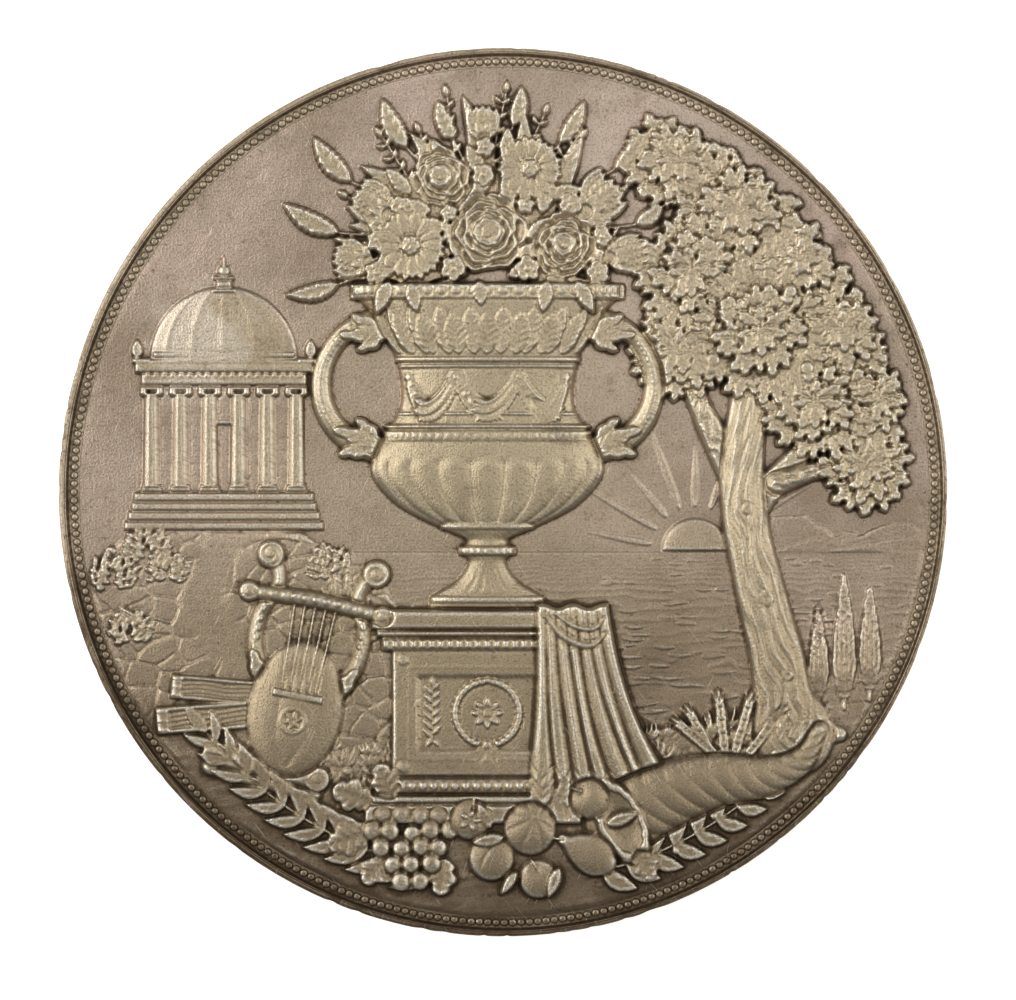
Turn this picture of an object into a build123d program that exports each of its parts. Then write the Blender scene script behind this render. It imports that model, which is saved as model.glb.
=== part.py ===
from build123d import *
import os
from collections import namedtuple
from math import atan2, cos, degrees, hypot, pi, radians, sin

# A large struck silver medal lying on its reverse. All sizes are in millimetres.
# The origin is the middle of the reverse rim, +Z is up through the medal, +Y is the top of the design.

# Flan: the disc that was struck
flan_radius = 35.0
flan_thickness = 5.0
edge_round = 0.25
die_shift = 0.10  # the dies struck this far to the right of the disc's own centre

# Rim, channel and dished field, the same on both faces
rim_width = 0.58
rim_wall_slope = 0.10
rim_rise = 0.60  # rim above the channel floor
channel_width = 0.92
field_lip = 0.05  # field above the channel floor where they meet
field_dish = 0.50  # the middle of each field is lower than its lip by this much

# Bead border in the channel of the obverse
bead_pitch = 0.658
bead_radius = 0.29

# Relief
relief_height = 1.55  # highest form above the field
root_depth = 0.35  # each form starts this far under the field, so that it is one with the disc
border_gap = 0.12  # between the ground of the design and the channel

# Levels and rings that follow from those sizes
rim_inner_radius = flan_radius - rim_width
field_radius = rim_inner_radius - channel_width
channel_floor = flan_thickness - rim_rise
datum = channel_floor + field_lip - field_dish  # the field at its middle
bead_ring_radius = field_radius + channel_width / 2
bead_count = round(2 * pi * bead_ring_radius / bead_pitch)
dish_ball = (field_radius**2 + field_dish**2) / (2 * field_dish)  # radius of the ball that shapes the field

# The tables below lay the design out on a disc whose radius is 100. Heights are hundredths of relief_height.
unit = field_radius / 100
lift = relief_height / 100

Section = namedtuple("Section", "x y half_width height")
Course = namedtuple("Course", "bottom top half_width height")
Block = namedtuple("Block", "x y half_length half_width height turn")
Dome = namedtuple("Dome", "x y radius height")
Leaf = namedtuple("Leaf", "x y turn length width height")
Spot = namedtuple("Spot", "x y")
Branch = namedtuple("Branch", "radius start stop stem_width pairs leaf opening")

# Ground, hill and sea, as the lines that bound them above
ground_rise = 30
ground_line = [Spot(-100, -52), Spot(-72, -54), Spot(-42, -57), Spot(0, -59), Spot(36, -56), Spot(100, -47)]
hill_rise = 18
hill_line = [Spot(-100, -22), Spot(-88, -9), Spot(-48, -9), Spot(-30, -19), Spot(-16, -40), Spot(-10, -60)]
sea_rise = 7
sea_line = [Spot(22, -14), Spot(60, -14), Spot(100, -14)]
ripple = Leaf(0, 0, 0, 17, 1.5, 16)
ripples = [
    Spot(27, -20), Spot(36, -25), Spot(30, -31), Spot(40, -36), Spot(29, -42), Spot(44, -46),
    Spot(74, -19), Spot(70, -25), Spot(77, -31), Spot(71, -38),
]

# Sun on the sea
sun = Dome(45, -14, 8, 24)
ray_count = 9
ray = Leaf(0, 0, 0, 13, 2.0, 18)
ray_start = 10

# Plinth, from the ground up, and the wreath in its sunk panel
urn_axis = -4
plinth_die = Course(-67, -37, 22.5, 52)
plinth_courses = [
    Course(-78, -71, 29.0, 72),
    Course(-71, -67, 26.5, 64),
    Course(-37, -34, 25.0, 64),
    Course(-34, -27.5, 27.5, 76),
]
panel_depth = 14
panel = Block(urn_axis, -52, 17, 11, panel_depth, 0)
wreath_radius = 7.5
wreath_thickness = 1.2

# Urn on the plinth
urn_sections = [
    Section(0, -27.5, 14.0, 62),
    Section(0, -24.5, 13.2, 62),
    Section(0, -21.0, 7.6, 56),
    Section(0, -16.5, 4.6, 52),
    Section(0, -13.8, 6.6, 64),
    Section(0, -11.2, 5.2, 56),
    Section(0, -8.5, 11.0, 70),
    Section(0, -3.0, 21.5, 88),
    Section(0, 4.5, 27.5, 100),
    Section(0, 12.0, 25.5, 96),
    Section(0, 20.0, 20.6, 85),
    Section(0, 30.0, 21.2, 86),
    Section(0, 39.0, 25.0, 92),
    Section(0, 46.0, 31.0, 97),
]
urn_courses = [Course(45.5, 49, 32.5, 99), Course(12.2, 14.4, 24.5, 98)]
handle_sections = [
    Section(23, 9, 3.2, 66),
    Section(32, 12, 2.9, 64),
    Section(38, 19, 2.7, 62),
    Section(39, 28, 2.5, 62),
    Section(35, 36, 2.4, 62),
    Section(28, 40, 2.8, 64),
    Section(22, 38, 2.8, 60),
]

# Flowers, buds and leaves in the urn
flowers = [
    Dome(-4, 61, 9.5, 96), Dome(-22, 58, 7.8, 90), Dome(14, 58, 7.8, 90), Dome(-15, 74, 7.0, 84),
    Dome(6, 76, 7.2, 84),
]
buds = [
    Dome(-31, 68, 5.0, 74), Dome(23, 69, 5.2, 76), Dome(-36, 55, 4.5, 64), Dome(29, 56, 4.5, 64),
    Dome(-5, 87, 4.0, 64),
]
petal_count = 5
petal_share = 0.33  # of the flower's radius, and what is left in its middle is the same again
spray = [
    Leaf(-39, 61, 152, 15, 6, 50), Leaf(-39, 49, 192, 13, 5, 50), Leaf(-36, 73, 130, 14, 6, 50),
    Leaf(-23, 81, 116, 13, 6, 50), Leaf(-12, 83, 112, 10, 5, 50), Leaf(2, 86, 78, 10, 5, 50),
    Leaf(13, 82, 60, 12, 5, 50), Leaf(26, 76, 50, 12, 5, 50), Leaf(31, 63, 35, 8, 5, 50),
    Leaf(-13, 65, 60, 9, 4, 70), Leaf(5, 66, 108, 8, 4, 70), Leaf(-25, 68, 60, 9, 4, 60),
]

# Oak: trunk, limbs and roots, then the masses of its crown with leaves around each
trunk = [
    Section(68, -57, 10.0, 56),
    Section(66, -50, 7.6, 64),
    Section(64, -38, 6.6, 70),
    Section(60, -22, 6.0, 72),
    Section(57, -8, 5.6, 72),
    Section(56, 6, 5.4, 70),
    Section(58, 25, 4.6, 60),
]
limbs = [
    [Section(56, 0, 4.0, 60), Section(50, 12, 3.4, 60), Section(44, 25, 2.6, 54)],
    [Section(58, -4, 4.0, 60), Section(66, 5, 3.2, 58), Section(72, 12, 2.4, 52)],
    [Section(64, 2, 3.0, 54), Section(73, 5, 2.4, 50), Section(79, 5, 2.0, 46)],
]
roots = [
    [Section(67, -49, 4.4, 60), Section(59, -56, 3.2, 48), Section(51, -59, 2.0, 38)],
    [Section(68, -50, 4.0, 58), Section(75, -56, 3.0, 46), Section(79, -57, 2.0, 38)],
]
crown_masses = [
    Dome(60, 38, 11.0, 96), Dome(79, 38, 7.5, 78), Dome(69, 55, 8.0, 84), Dome(55, 66, 9.5, 84),
    Dome(44, 52, 8.0, 88), Dome(41, 78, 7.5, 70), Dome(41, 33, 6.5, 74), Dome(73, 21, 8.0, 84),
    Dome(88, 22, 5.5, 64), Dome(85, 6, 5.5, 60),
]
leaf_gap = 0.4  # between a stem and its leaves
cypresses = [Leaf(80, -49, 91, 30, 6, 30), Leaf(86, -47, 89, 25, 5.5, 28), Leaf(74, -49, 90, 22, 5, 28)]

# Round temple on the hill
temple_axis = -66
temple_wall = Course(0, 25, 17.5, 12)
temple_courses = [
    Course(-9, -4.5, 23.5, 26),
    Course(-4.5, 0, 21.5, 30),
    temple_wall,
    Course(25, 28, 19.5, 30),
    Course(28, 31.5, 21.0, 34),
    Course(47, 50.5, 2.4, 30),
]
column_offsets = [-17, -10.2, -3.4, 3.4, 10.2, 17]
column_half_width = 2.1
column_height = 32
temple_dome = Dome(temple_axis, 31, 17.5, 36)

# Lyre that leans on the plinth, laid out about its own middle, with books and a scroll by it
lyre_place = Spot(-47, -40)
lyre_lean = -11  # degrees
lyre_box = [
    Section(0, -22, 5.0, 54),
    Section(0, -18, 9.5, 62),
    Section(0, -12, 11.5, 66),
    Section(0, -6, 10.0, 62),
    Section(0, -3, 8.0, 54),
]
lyre_arm = [
    Section(8, -7, 2.6, 56),
    Section(12, 1, 2.3, 52),
    Section(12.5, 9, 2.1, 50),
    Section(9.5, 17, 2.0, 50),
    Section(12, 24, 2.2, 50),
]
lyre_bar = [Section(-16, 14, 2.0, 58), Section(0, 14.8, 2.2, 60), Section(16, 14, 2.0, 58)]
lyre_string = Block(0, 5, 0.5, 10, 42, lyre_lean)
string_offsets = [-4.5, -1.5, 1.5, 4.5]
books = [Block(-70, -53, 12, 3.3, 46, 4), Block(-68, -46.5, 10.5, 2.9, 42, -5)]
scroll = [Section(-66, -64, 3.2, 52), Section(-45, -70, 3.2, 54)]

# Drapery from the plinth's right corner to the ground: each fold starts, bends and ends by a share of its number
fold_count = 6
fold_start = [Section(9, -27, 2.3, 86), Section(2.6, 0.2, 0, -1)]
fold_bend = [Section(11, -48, 2.7, 84), Section(3.8, 0.4, 0.1, -3)]
fold_end = [Section(10, -73, 3.2, 76), Section(5.4, 0.8, 0.1, -6)]

# Horn of plenty and the fruit before it
horn = [
    Section(27, -77, 9.0, 62),
    Section(37, -72, 8.2, 66),
    Section(49, -68, 6.8, 62),
    Section(61, -67, 5.0, 56),
    Section(70, -63, 3.4, 48),
    Section(74, -56, 2.2, 42),
]
horn_mouth = [Section(25, -78.5, 10.2, 66), Section(28, -76.5, 10.2, 68)]
fruit = [
    Dome(6, -79, 6.5, 76), Dome(17, -82, 6.2, 72), Dome(-3, -86, 5.6, 66), Dome(8, -91, 4.8, 56),
    Dome(20, -72, 5.0, 70), Dome(-8, -77, 5.0, 78),
]
berry = Dome(-22, -76, 2.5, 76)
berry_rows = [4, 5, 4, 3, 2]

# Palm and laurel laid along the border: each is an arc about the middle with leaves on both sides
palm = Branch(90, -97, -141, 1.3, 9, Leaf(0, 0, 0, 12, 4.2, 72), 32)
laurel = Branch(92, -79, -44, 0.9, 6, Leaf(0, 0, 0, 9.5, 5.2, 72), 40)
branch_sections = 4


# Plain forms

def level(x, y):
    """Height of the dished field under a place in the design."""
    return datum + dish_ball - (dish_ball**2 - (hypot(x, y) * unit) ** 2) ** 0.5


def under_field(x, y):
    """The point from which a form at this place rises."""
    return (x * unit, y * unit, level(x, y) - root_depth)


def over_field(rise):
    """The ball whose underside is the dished field, lifted by rise."""
    return Pos(0, 0, datum + rise + dish_ball) * Sphere(dish_ball)


def dished_layer(radius, rise):
    """A disc from under the field to a dished top that lies rise above it."""
    top = datum + rise + 2 * field_dish
    foot = datum - root_depth
    disc = Cylinder(radius, top - foot, align=(Align.CENTER, Align.CENTER, Align.MIN))
    return Pos(0, 0, foot) * disc - over_field(rise)


def segment(row, along):
    """An upright section across a direction: a flat foot, two low walls and one arc over them."""
    x, y, half_width, height = row
    plane = Plane(
        origin=under_field(x, y),
        x_dir=(-sin(along), cos(along), 0),
        z_dir=(cos(along), sin(along), 0),
    )
    side = half_width * unit
    top = root_depth + height * lift
    return plane * make_face([
        Line((-side, 0), (side, 0)),
        Line((side, 0), (side, root_depth)),
        ThreePointArc((side, root_depth), (0, top), (-side, root_depth)),
        Line((-side, root_depth), (-side, 0)),
    ])


def upright_form(rows):
    """A form lofted up the design through level sections, as an urn is."""
    return loft([segment(row, pi / 2) for row in rows])


def winding_form(rows):
    """A form lofted along a bent route, with each section square to the route."""
    faces = []
    for i, row in enumerate(rows):
        before, after = rows[max(i - 1, 0)], rows[min(i + 1, len(rows) - 1)]
        faces.append(segment(row, atan2(after.y - before.y, after.x - before.x)))
    return loft(faces)


def block(row):
    """A flat-topped block, such as a book or a panel."""
    box = Box(
        2 * row.half_length * unit, 2 * row.half_width * unit, root_depth + row.height * lift,
        align=(Align.CENTER, Align.CENTER, Align.MIN),
    )
    return Pos(*under_field(row.x, row.y)) * Rot(0, 0, row.turn) * box


def course(row, axis):
    """A level course of masonry about an upright axis."""
    half_rise = (row.top - row.bottom) / 2
    return block(Block(axis, row.bottom + half_rise, row.half_width, half_rise, row.height, 0))


def dome(row):
    """A round boss: radius is its outline on the field and height its rise. One that rises by more than its
    radius is a half ball on a wall."""
    side, rise = row.radius * unit, row.height * lift
    cap = min(side, rise)
    wall = root_depth + rise - cap
    ball = (side**2 + cap**2) / (2 * cap)
    half_way = (side / 2, wall + cap - ball + (ball**2 - side**2 / 4) ** 0.5)
    half_profile = make_face([
        Line((0, 0), (side, 0)),
        Line((side, 0), (side, wall)),
        ThreePointArc((side, wall), half_way, (0, wall + cap)),
        Line((0, wall + cap), (0, 0)),
    ])
    return Pos(*under_field(row.x, row.y)) * revolve(Plane.XZ * half_profile, Axis.Z)


def rising_dome(row):
    """The half of a dome above its own middle line."""
    side = row.radius * unit
    half = Box(2 * side, side, 4 * relief_height, align=(Align.CENTER, Align.MIN, Align.CENTER))
    return dome(row) & Pos(row.x * unit, row.y * unit, datum) * half


def leaf(row):
    """A pointed leaf with a ridge, widest a little before its middle."""
    length, side, top = row.length * unit, row.width * unit / 2, root_depth + row.height * lift
    outline = [(0, 0), (0.45 * length, side), (length, 0), (0.45 * length, -side)]
    foot = [(x, y, z) for x, y in outline for z in (0, root_depth)]
    blade = ConvexPolyhedron([*foot, (0.45 * length, 0, top)])
    return Pos(*under_field(row.x, row.y)) * Rot(0, 0, row.turn) * blade


def polar(middle, radius, angle):
    """A place at a distance and a bearing in degrees from another."""
    return Spot(middle.x + radius * cos(radians(angle)), middle.y + radius * sin(radians(angle)))


def moved(row, place, lean):
    """A row of a table laid out about its own middle, as it lies in the design."""
    radius, bearing = hypot(row.x, row.y), degrees(atan2(row.y, row.x))
    spot = polar(place, radius, bearing + lean)
    return row._replace(x=spot.x, y=spot.y)


def mirrored(rows):
    return [row._replace(x=-row.x) for row in rows]


# The disc

def struck_face():
    """What one die leaves open: the channel inside the rim, and the bowl over the dished field."""
    clear = flan_thickness + rim_rise
    wall = rim_inner_radius + rim_wall_slope * (clear - channel_floor) / rim_rise
    section = Plane.XZ * make_face(Polyline(
        (field_radius, clear), (wall, clear), (rim_inner_radius, channel_floor), (field_radius, channel_floor),
        close=True,
    ))
    column = Cylinder(field_radius, clear, align=(Align.CENTER, Align.CENTER, Align.MIN))
    return [revolve(section, Axis.Z), column & over_field(0)]


def flan():
    """The disc with both struck faces, its channels and its dished fields."""
    blank = Cylinder(flan_radius, flan_thickness, align=(Align.CENTER, Align.CENTER, Align.MIN))
    blank = fillet(blank.edges().filter_by(GeomType.CIRCLE), edge_round)
    middle = Plane.XY.offset(flan_thickness / 2)
    for opening in struck_face():
        opening = Pos(die_shift, 0, 0) * opening
        blank = blank - opening - mirror(opening, middle)
    return blank


def beads():
    bead = Sphere(bead_radius)
    return [Pos(die_shift, 0, channel_floor) * place * bead for place in PolarLocations(bead_ring_radius, bead_count)]


# The design

def land(line, rise):
    """A low layer of ground under a bounding line, as far as the border."""
    outline = make_face([
        Spline(*[(spot.x * unit, spot.y * unit) for spot in line]),
        Polyline(
            (line[-1].x * unit, line[-1].y * unit), (line[-1].x * unit, -field_radius),
            (line[0].x * unit, -field_radius), (line[0].x * unit, line[0].y * unit),
        ),
    ])
    column = extrude(outline, flan_thickness + relief_height)
    return column & dished_layer(field_radius - border_gap, rise * lift)


def landscape():
    layers = [land(ground_line, ground_rise), land(hill_line, hill_rise), land(sea_line, sea_rise)]
    waves = [leaf(ripple._replace(x=spot.x, y=spot.y)) for spot in ripples]
    return layers + waves + [leaf(tree) for tree in cypresses]


def sunrise():
    rays = []
    for i in range(ray_count):
        bearing = 180 * (i + 0.5) / ray_count
        start = polar(sun, ray_start, bearing)
        rays.append(leaf(ray._replace(x=start.x, y=start.y, turn=bearing)))
    return [rising_dome(sun), *rays]


def plinth():
    sunk_face = plinth_die.height - panel_depth
    cut = Pos(0, 0, root_depth + sunk_face * lift) * block(panel)
    place = level(panel.x, panel.y) + sunk_face * lift
    ring = Pos(panel.x * unit, panel.y * unit, place) * Torus(wreath_radius * unit, wreath_thickness * unit)
    return [course(plinth_die, urn_axis) - cut, ring, *[course(row, urn_axis) for row in plinth_courses]]


def urn():
    body = upright_form([row._replace(x=urn_axis) for row in urn_sections])
    bands = [course(row, urn_axis) for row in urn_courses]
    handles = []
    for rows in (handle_sections, mirrored(handle_sections)):
        handles.append(winding_form([row._replace(x=row.x + urn_axis) for row in rows]))
    return [body, *bands, *handles]


def flower(row):
    """A centre with a ring of petals around it."""
    share = petal_share * row.radius
    petals = []
    for i in range(petal_count):
        spot = polar(row, 2 * share, 90 + 360 * i / petal_count)
        petals.append(dome(Dome(spot.x, spot.y, share, 0.88 * row.height)))
    return [dome(row._replace(radius=0.95 * share)), *petals]


def bouquet():
    heads = [form for row in flowers for form in flower(row)]
    return heads + [dome(row) for row in buds] + [leaf(row) for row in spray]


def oak():
    forms = [winding_form(rows) for rows in (trunk, *limbs, *roots)]
    return forms + [dome(row) for row in crown_masses]


def temple():
    forms = [course(row, temple_axis) for row in temple_courses]
    for offset in column_offsets:
        ends = (temple_wall.bottom, temple_wall.top)
        forms.append(upright_form([
            Section(temple_axis + offset, y, column_half_width, column_height) for y in ends
        ]))
    return [*forms, rising_dome(temple_dome)]


def lyre():
    parts = [lyre_box, lyre_arm, mirrored(lyre_arm), lyre_bar]
    forms = [winding_form([moved(row, lyre_place, lyre_lean) for row in rows]) for rows in parts]
    for offset in string_offsets:
        forms.append(block(moved(lyre_string._replace(x=offset), lyre_place, lyre_lean)))
    return forms


def drapery():
    folds = []
    for i in range(fold_count):
        rows = []
        for first, step in (fold_start, fold_bend, fold_end):
            rows.append(Section(*[a + i * b for a, b in zip(first, step)]))
        folds.append(winding_form(rows))
    return folds


def harvest():
    forms = [winding_form(horn), winding_form(horn_mouth), *[dome(row) for row in fruit]]
    for i, count in enumerate(berry_rows):
        for j in range(count):
            x = berry.x + 1.8 * berry.radius * (j - (count - 1) / 2)
            y = berry.y - 1.5 * berry.radius * i
            forms.append(dome(berry._replace(x=x, y=y)))
    return forms


def branch(row):
    """A stem along the border with pairs of leaves that point along it."""
    middle = Spot(0, 0)
    arc = row.stop - row.start
    ahead = 90 if arc > 0 else -90
    stem = []
    for i in range(branch_sections):
        spot = polar(middle, row.radius, row.start + arc * i / (branch_sections - 1))
        stem.append(Section(*spot, row.stem_width, 0.8 * row.leaf.height))
    forms = [winding_form(stem)]
    for i in range(row.pairs):
        bearing = row.start + arc * (i + 0.7) / row.pairs
        for side in (-1, 1):
            outward = side if arc > 0 else -side
            spot = polar(middle, row.radius - outward * (row.stem_width + leaf_gap), bearing)
            turn = bearing + ahead + side * row.opening
            forms.append(leaf(row.leaf._replace(x=spot.x, y=spot.y, turn=turn)))
    return forms


def reading_matter():
    return [*[block(row) for row in books], winding_form(scroll)]


def merged(forms):
    return forms[0].fuse(*forms[1:]).solids()


# Each layer is raised over the ones before it
layers = [
    [landscape()],
    [sunrise(), temple(), plinth(), branch(palm), branch(laurel)],
    [oak(), reading_matter(), urn()],
    [lyre(), bouquet(), harvest()],
    [drapery()],
]
medal = flan()
for layer in layers:
    raised = [Pos(die_shift, 0, 0) * solid for forms in layer for solid in merged(forms)]
    medal = medal.fuse(*raised)
medal = medal.fuse(*beads())

os.makedirs("parts", exist_ok=True)
export_step(medal, "parts/medal.step")
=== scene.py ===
import bpy
import numpy as np
from collections import namedtuple
from math import atan2, cos, degrees, hypot, pi, radians, sin, sqrt
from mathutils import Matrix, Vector


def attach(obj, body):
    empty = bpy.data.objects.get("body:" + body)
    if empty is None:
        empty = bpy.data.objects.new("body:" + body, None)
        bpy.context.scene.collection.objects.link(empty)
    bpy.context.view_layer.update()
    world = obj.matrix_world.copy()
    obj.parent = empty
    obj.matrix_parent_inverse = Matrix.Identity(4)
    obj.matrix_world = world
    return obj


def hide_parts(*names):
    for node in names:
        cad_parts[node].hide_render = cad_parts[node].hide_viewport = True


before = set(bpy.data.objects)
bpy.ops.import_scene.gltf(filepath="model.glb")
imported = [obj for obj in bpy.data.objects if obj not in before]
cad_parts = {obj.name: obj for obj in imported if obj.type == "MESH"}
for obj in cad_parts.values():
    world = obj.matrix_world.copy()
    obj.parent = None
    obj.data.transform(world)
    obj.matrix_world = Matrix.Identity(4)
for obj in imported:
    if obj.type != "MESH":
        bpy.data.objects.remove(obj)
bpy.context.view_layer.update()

# Sizes of the medal, in millimetres
flan_radius = 35.0
flan_thickness = 5.0
edge_round = 0.25
die_shift = 0.10
rim_width = 0.58
rim_wall_slope = 0.10
rim_rise = 0.60
channel_width = 0.92
field_lip = 0.05
field_dish = 0.50
bead_pitch = 0.658
bead_radius = 0.29
relief_height = 1.55

rim_inner_radius = flan_radius - rim_width
field_radius = rim_inner_radius - channel_width
channel_floor = flan_thickness - rim_rise
datum = channel_floor + field_lip - field_dish
bead_ring_radius = field_radius + channel_width / 2
bead_count = round(2 * pi * bead_ring_radius / bead_pitch)
dish_ball = (field_radius**2 + field_dish**2) / (2 * field_dish)
relief_floor = 2.25  # the relief pieces are closed at this level, inside the body

# The design is laid out on a disc whose radius is 100. Heights are hundredths of relief_height.
unit = field_radius / 100
lift = relief_height / 100
mesh_count = 671  # points of the relief mesh across the disc
board_count = 2 * mesh_count - 1  # the design is worked out on a board twice as fine

Section = namedtuple("Section", "x y half_width height")
Course = namedtuple("Course", "bottom top half_width height crown")
Dome = namedtuple("Dome", "x y radius height")
Spot = namedtuple("Spot", "x y")
Leaf = namedtuple("Leaf", "x y turn length width")
Block = namedtuple("Block", "x y half_length half_width height turn")


def table(kind, *rows):
    """Rows of a table, with a name for each of their values."""
    return [kind(*row) for row in rows]


# The tables of the design, with the places and sizes of the solids
ground_rise = 30
ground_line = [(-100, -52), (-72, -54), (-42, -57), (0, -59), (36, -56), (100, -47)]
hill_rise = 18
hill_line = [(-100, -22), (-88, -9), (-48, -9), (-30, -19), (-16, -40), (-10, -60)]
bushes = [(-92, -20, 5.5), (-84, -14, 5.0), (-79, -19, 4.0), (-41, -18, 4.5), (-37, -25, 5.0),
          (-29, -33, 4.5), (-88, -33, 4.5)]
horizon = -14
sea_rise = 7
sun = Dome(45, -14, 8, 24)
ray_count = 9

urn_axis = -4
plinth_face = 52
panel_depth = 14
plinth_courses = table(
    Course, (-67, -37, 22.5, 52, 0), (-78, -73.2, 29.0, 72, 1), (-73.4, -71, 27.8, 68, 6),
    (-71, -67, 26.5, 62, 8), (-37.4, -34, 25.0, 62, 2), (-34.2, -32.2, 26.2, 68, 5),
    (-32.4, -27.5, 27.5, 76, 2))
# Level, half width and height of the urn's body, and half width, level, rise, height and beads of its rings
urn_levels = [(-27.5, 14.0, 62), (-24.5, 13.2, 62), (-21.0, 7.6, 56), (-16.5, 4.6, 52), (-13.8, 6.6, 64),
              (-11.2, 5.2, 56), (-8.5, 11.0, 70), (-3.0, 21.5, 88), (4.5, 27.5, 100), (12.0, 25.5, 96),
              (20.0, 20.6, 85), (30.0, 21.2, 86), (39.0, 25.0, 92), (46.0, 31.0, 97)]
urn_rings = [(24.9, 13.2, 1.3, 98, 33), (24.4, 15.4, 0.5, 96, 0), (21.9, 31.2, 0.7, 91, 0),
             (21.0, 29.6, 0.45, 89, 0), (21.3, 18.4, 0.4, 90, 0), (7.0, -13.8, 1.1, 70, 13),
             (11.2, -8.0, 0.8, 74, 0), (13.6, -25.3, 0.8, 66, 0)]
handle_sections = table(
    Section, (23, 9, 3.2, 66), (32, 12, 2.9, 64), (38, 19, 2.7, 62), (39, 28, 2.5, 62), (35, 36, 2.4, 62),
    (28, 40, 2.8, 64), (22, 38, 2.8, 60))
flowers = table(
    Dome, (-4, 61, 9.5, 96), (-22, 58, 7.8, 90), (14, 58, 7.8, 90), (-15, 74, 7.0, 84), (6, 76, 7.2, 84))
buds = table(
    Dome, (-31, 68, 5.0, 74), (23, 69, 5.2, 76), (-36, 55, 4.5, 64), (29, 56, 4.5, 64), (-5, 87, 4.0, 64))
spray = table(
    Leaf, (-39, 61, 152, 15, 6), (-39, 49, 192, 13, 5), (-36, 73, 130, 14, 6), (-23, 81, 116, 13, 6),
    (-12, 83, 112, 10, 5), (2, 86, 78, 10, 5), (13, 82, 60, 12, 5), (26, 76, 50, 12, 5), (31, 63, 35, 8, 5))
sprigs = [(152, 25), (128, 28), (116, 24), (103, 30), (84, 30), (70, 27), (55, 26), (31, 24),
          (168, 22), (14, 21)]
posies = [(-12, 52.5, 3.2), (5.5, 52.5, 3.2), (-30, 51.5, 3.0), (22, 51.5, 3.0), (-24, 67, 2.8),
          (15.5, 67.5, 2.9), (-5, 74.5, 2.8), (-4.5, 81, 2.5), (-30, 59, 2.6), (23, 60, 2.6),
          (-13, 65.5, 2.3), (5, 67.5, 2.3)]
# Leaves of the bouquet that hang over the urn's lip
draped = [(-27, 49.5, -112, 8.5), (-22, 49.0, -78, 7.0), (10, 49.5, -98, 7.5), (17, 49.5, -62, 8.5),
          (-6, 49.6, -84, 6.0)]

trunk = table(
    Section, (68, -57, 10.0, 56), (66, -50, 7.6, 64), (64, -38, 6.6, 70), (60, -22, 6.0, 72),
    (57, -8, 5.6, 72), (56, 6, 5.4, 70), (58, 25, 4.6, 60))
limbs = [table(Section, (56, 0, 4.0, 60), (50, 12, 3.4, 60), (44, 25, 2.6, 54)),
         table(Section, (58, -4, 4.0, 60), (66, 5, 3.2, 58), (72, 12, 2.4, 52)),
         table(Section, (64, 2, 3.0, 54), (73, 5, 2.4, 50), (79, 5, 2.0, 46))]
roots = [table(Section, (67, -49, 4.4, 60), (59, -56, 3.2, 48), (51, -59, 2.0, 38)),
         table(Section, (68, -50, 4.0, 58), (75, -56, 3.0, 46), (79, -57, 2.0, 38))]
knots = [(61.5, -25, 1.9), (66.5, -43, 1.4), (57, -4, 1.3)]
crown_masses = table(
    Dome, (60, 38, 11.0, 96), (79, 38, 7.5, 78), (69, 55, 8.0, 84), (55, 66, 9.5, 84), (44, 52, 8.0, 88),
    (41, 78, 7.5, 70), (41, 33, 6.5, 74), (73, 21, 8.0, 84), (88, 22, 5.5, 64), (85, 6, 5.5, 60))
acorns = [(52, 44, -70), (67, 47, -110), (48, 58, -60), (62, 61, -90), (71, 29, -80), (49, 31, -100),
          (80, 31, -75)]
cypresses = [(86, -47, -22, 3.0), (74, -49, -27, 2.7), (80, -49, -19, 3.3)]

temple_axis = -66
temple_courses = table(
    Course, (-9, -6.8, 23.5, 25, 2), (-6.8, -4.5, 22.6, 27, 2), (-4.5, -2.3, 21.8, 29, 2),
    (-2.3, 0, 21.2, 31, 2), (25, 28, 19.5, 30, 2), (28, 31.5, 21.0, 34, 2))
column_offsets = [-17, -10.2, -3.4, 3.4, 10.2, 17]
column_half_width = 2.1
column_height = 32
temple_dome = Dome(temple_axis, 31, 17.5, 36)

lyre_place = Spot(-47, -40)
lyre_lean = -11
lyre_box = table(
    Section, (0, -23, 3.0, 50), (0, -18, 9.5, 62), (0, -12, 11.5, 66), (0, -6, 10.0, 62), (0, -3, 8.0, 54))
lyre_arm = table(
    Section, (8, -7, 2.6, 56), (12, 1, 2.3, 52), (12.5, 9, 2.1, 50), (9.5, 17, 2.0, 50), (12, 24, 2.2, 50))
lyre_bar = table(Section, (-16, 14, 2.0, 58), (0, 14.8, 2.2, 60), (16, 14, 2.0, 58))
book_rows = table(Block, (-70, -53, 12, 3.3, 46, 4), (-68, -46.5, 10.5, 2.9, 42, -5))
cloth_top = [7.5, 9.6, 12.0, 14.2, 16.8, 19.2, 21.6, 24.6]
cloth_foot = [6.0, 12.5, 17.0, 23.0, 27.0, 32.5, 36.5, 42.5]
cloth_lean = [1.35, 0.75, 1.2, 0.8, 1.3, 0.8, 1.25]
cloth_depth = [26, 34, 28, 36, 26, 34, 28]
cloth_swags = [
    [(9.5, -29, 0.7, 92), (14, -34, 1.2, 93), (20, -36, 1.2, 92), (24.2, -33, 0.5, 86)],
    [(12, -28.5, 0.6, 92), (16.5, -31.5, 1.0, 94), (21, -32, 1.0, 93), (23.6, -29.5, 0.5, 88)]]

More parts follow.
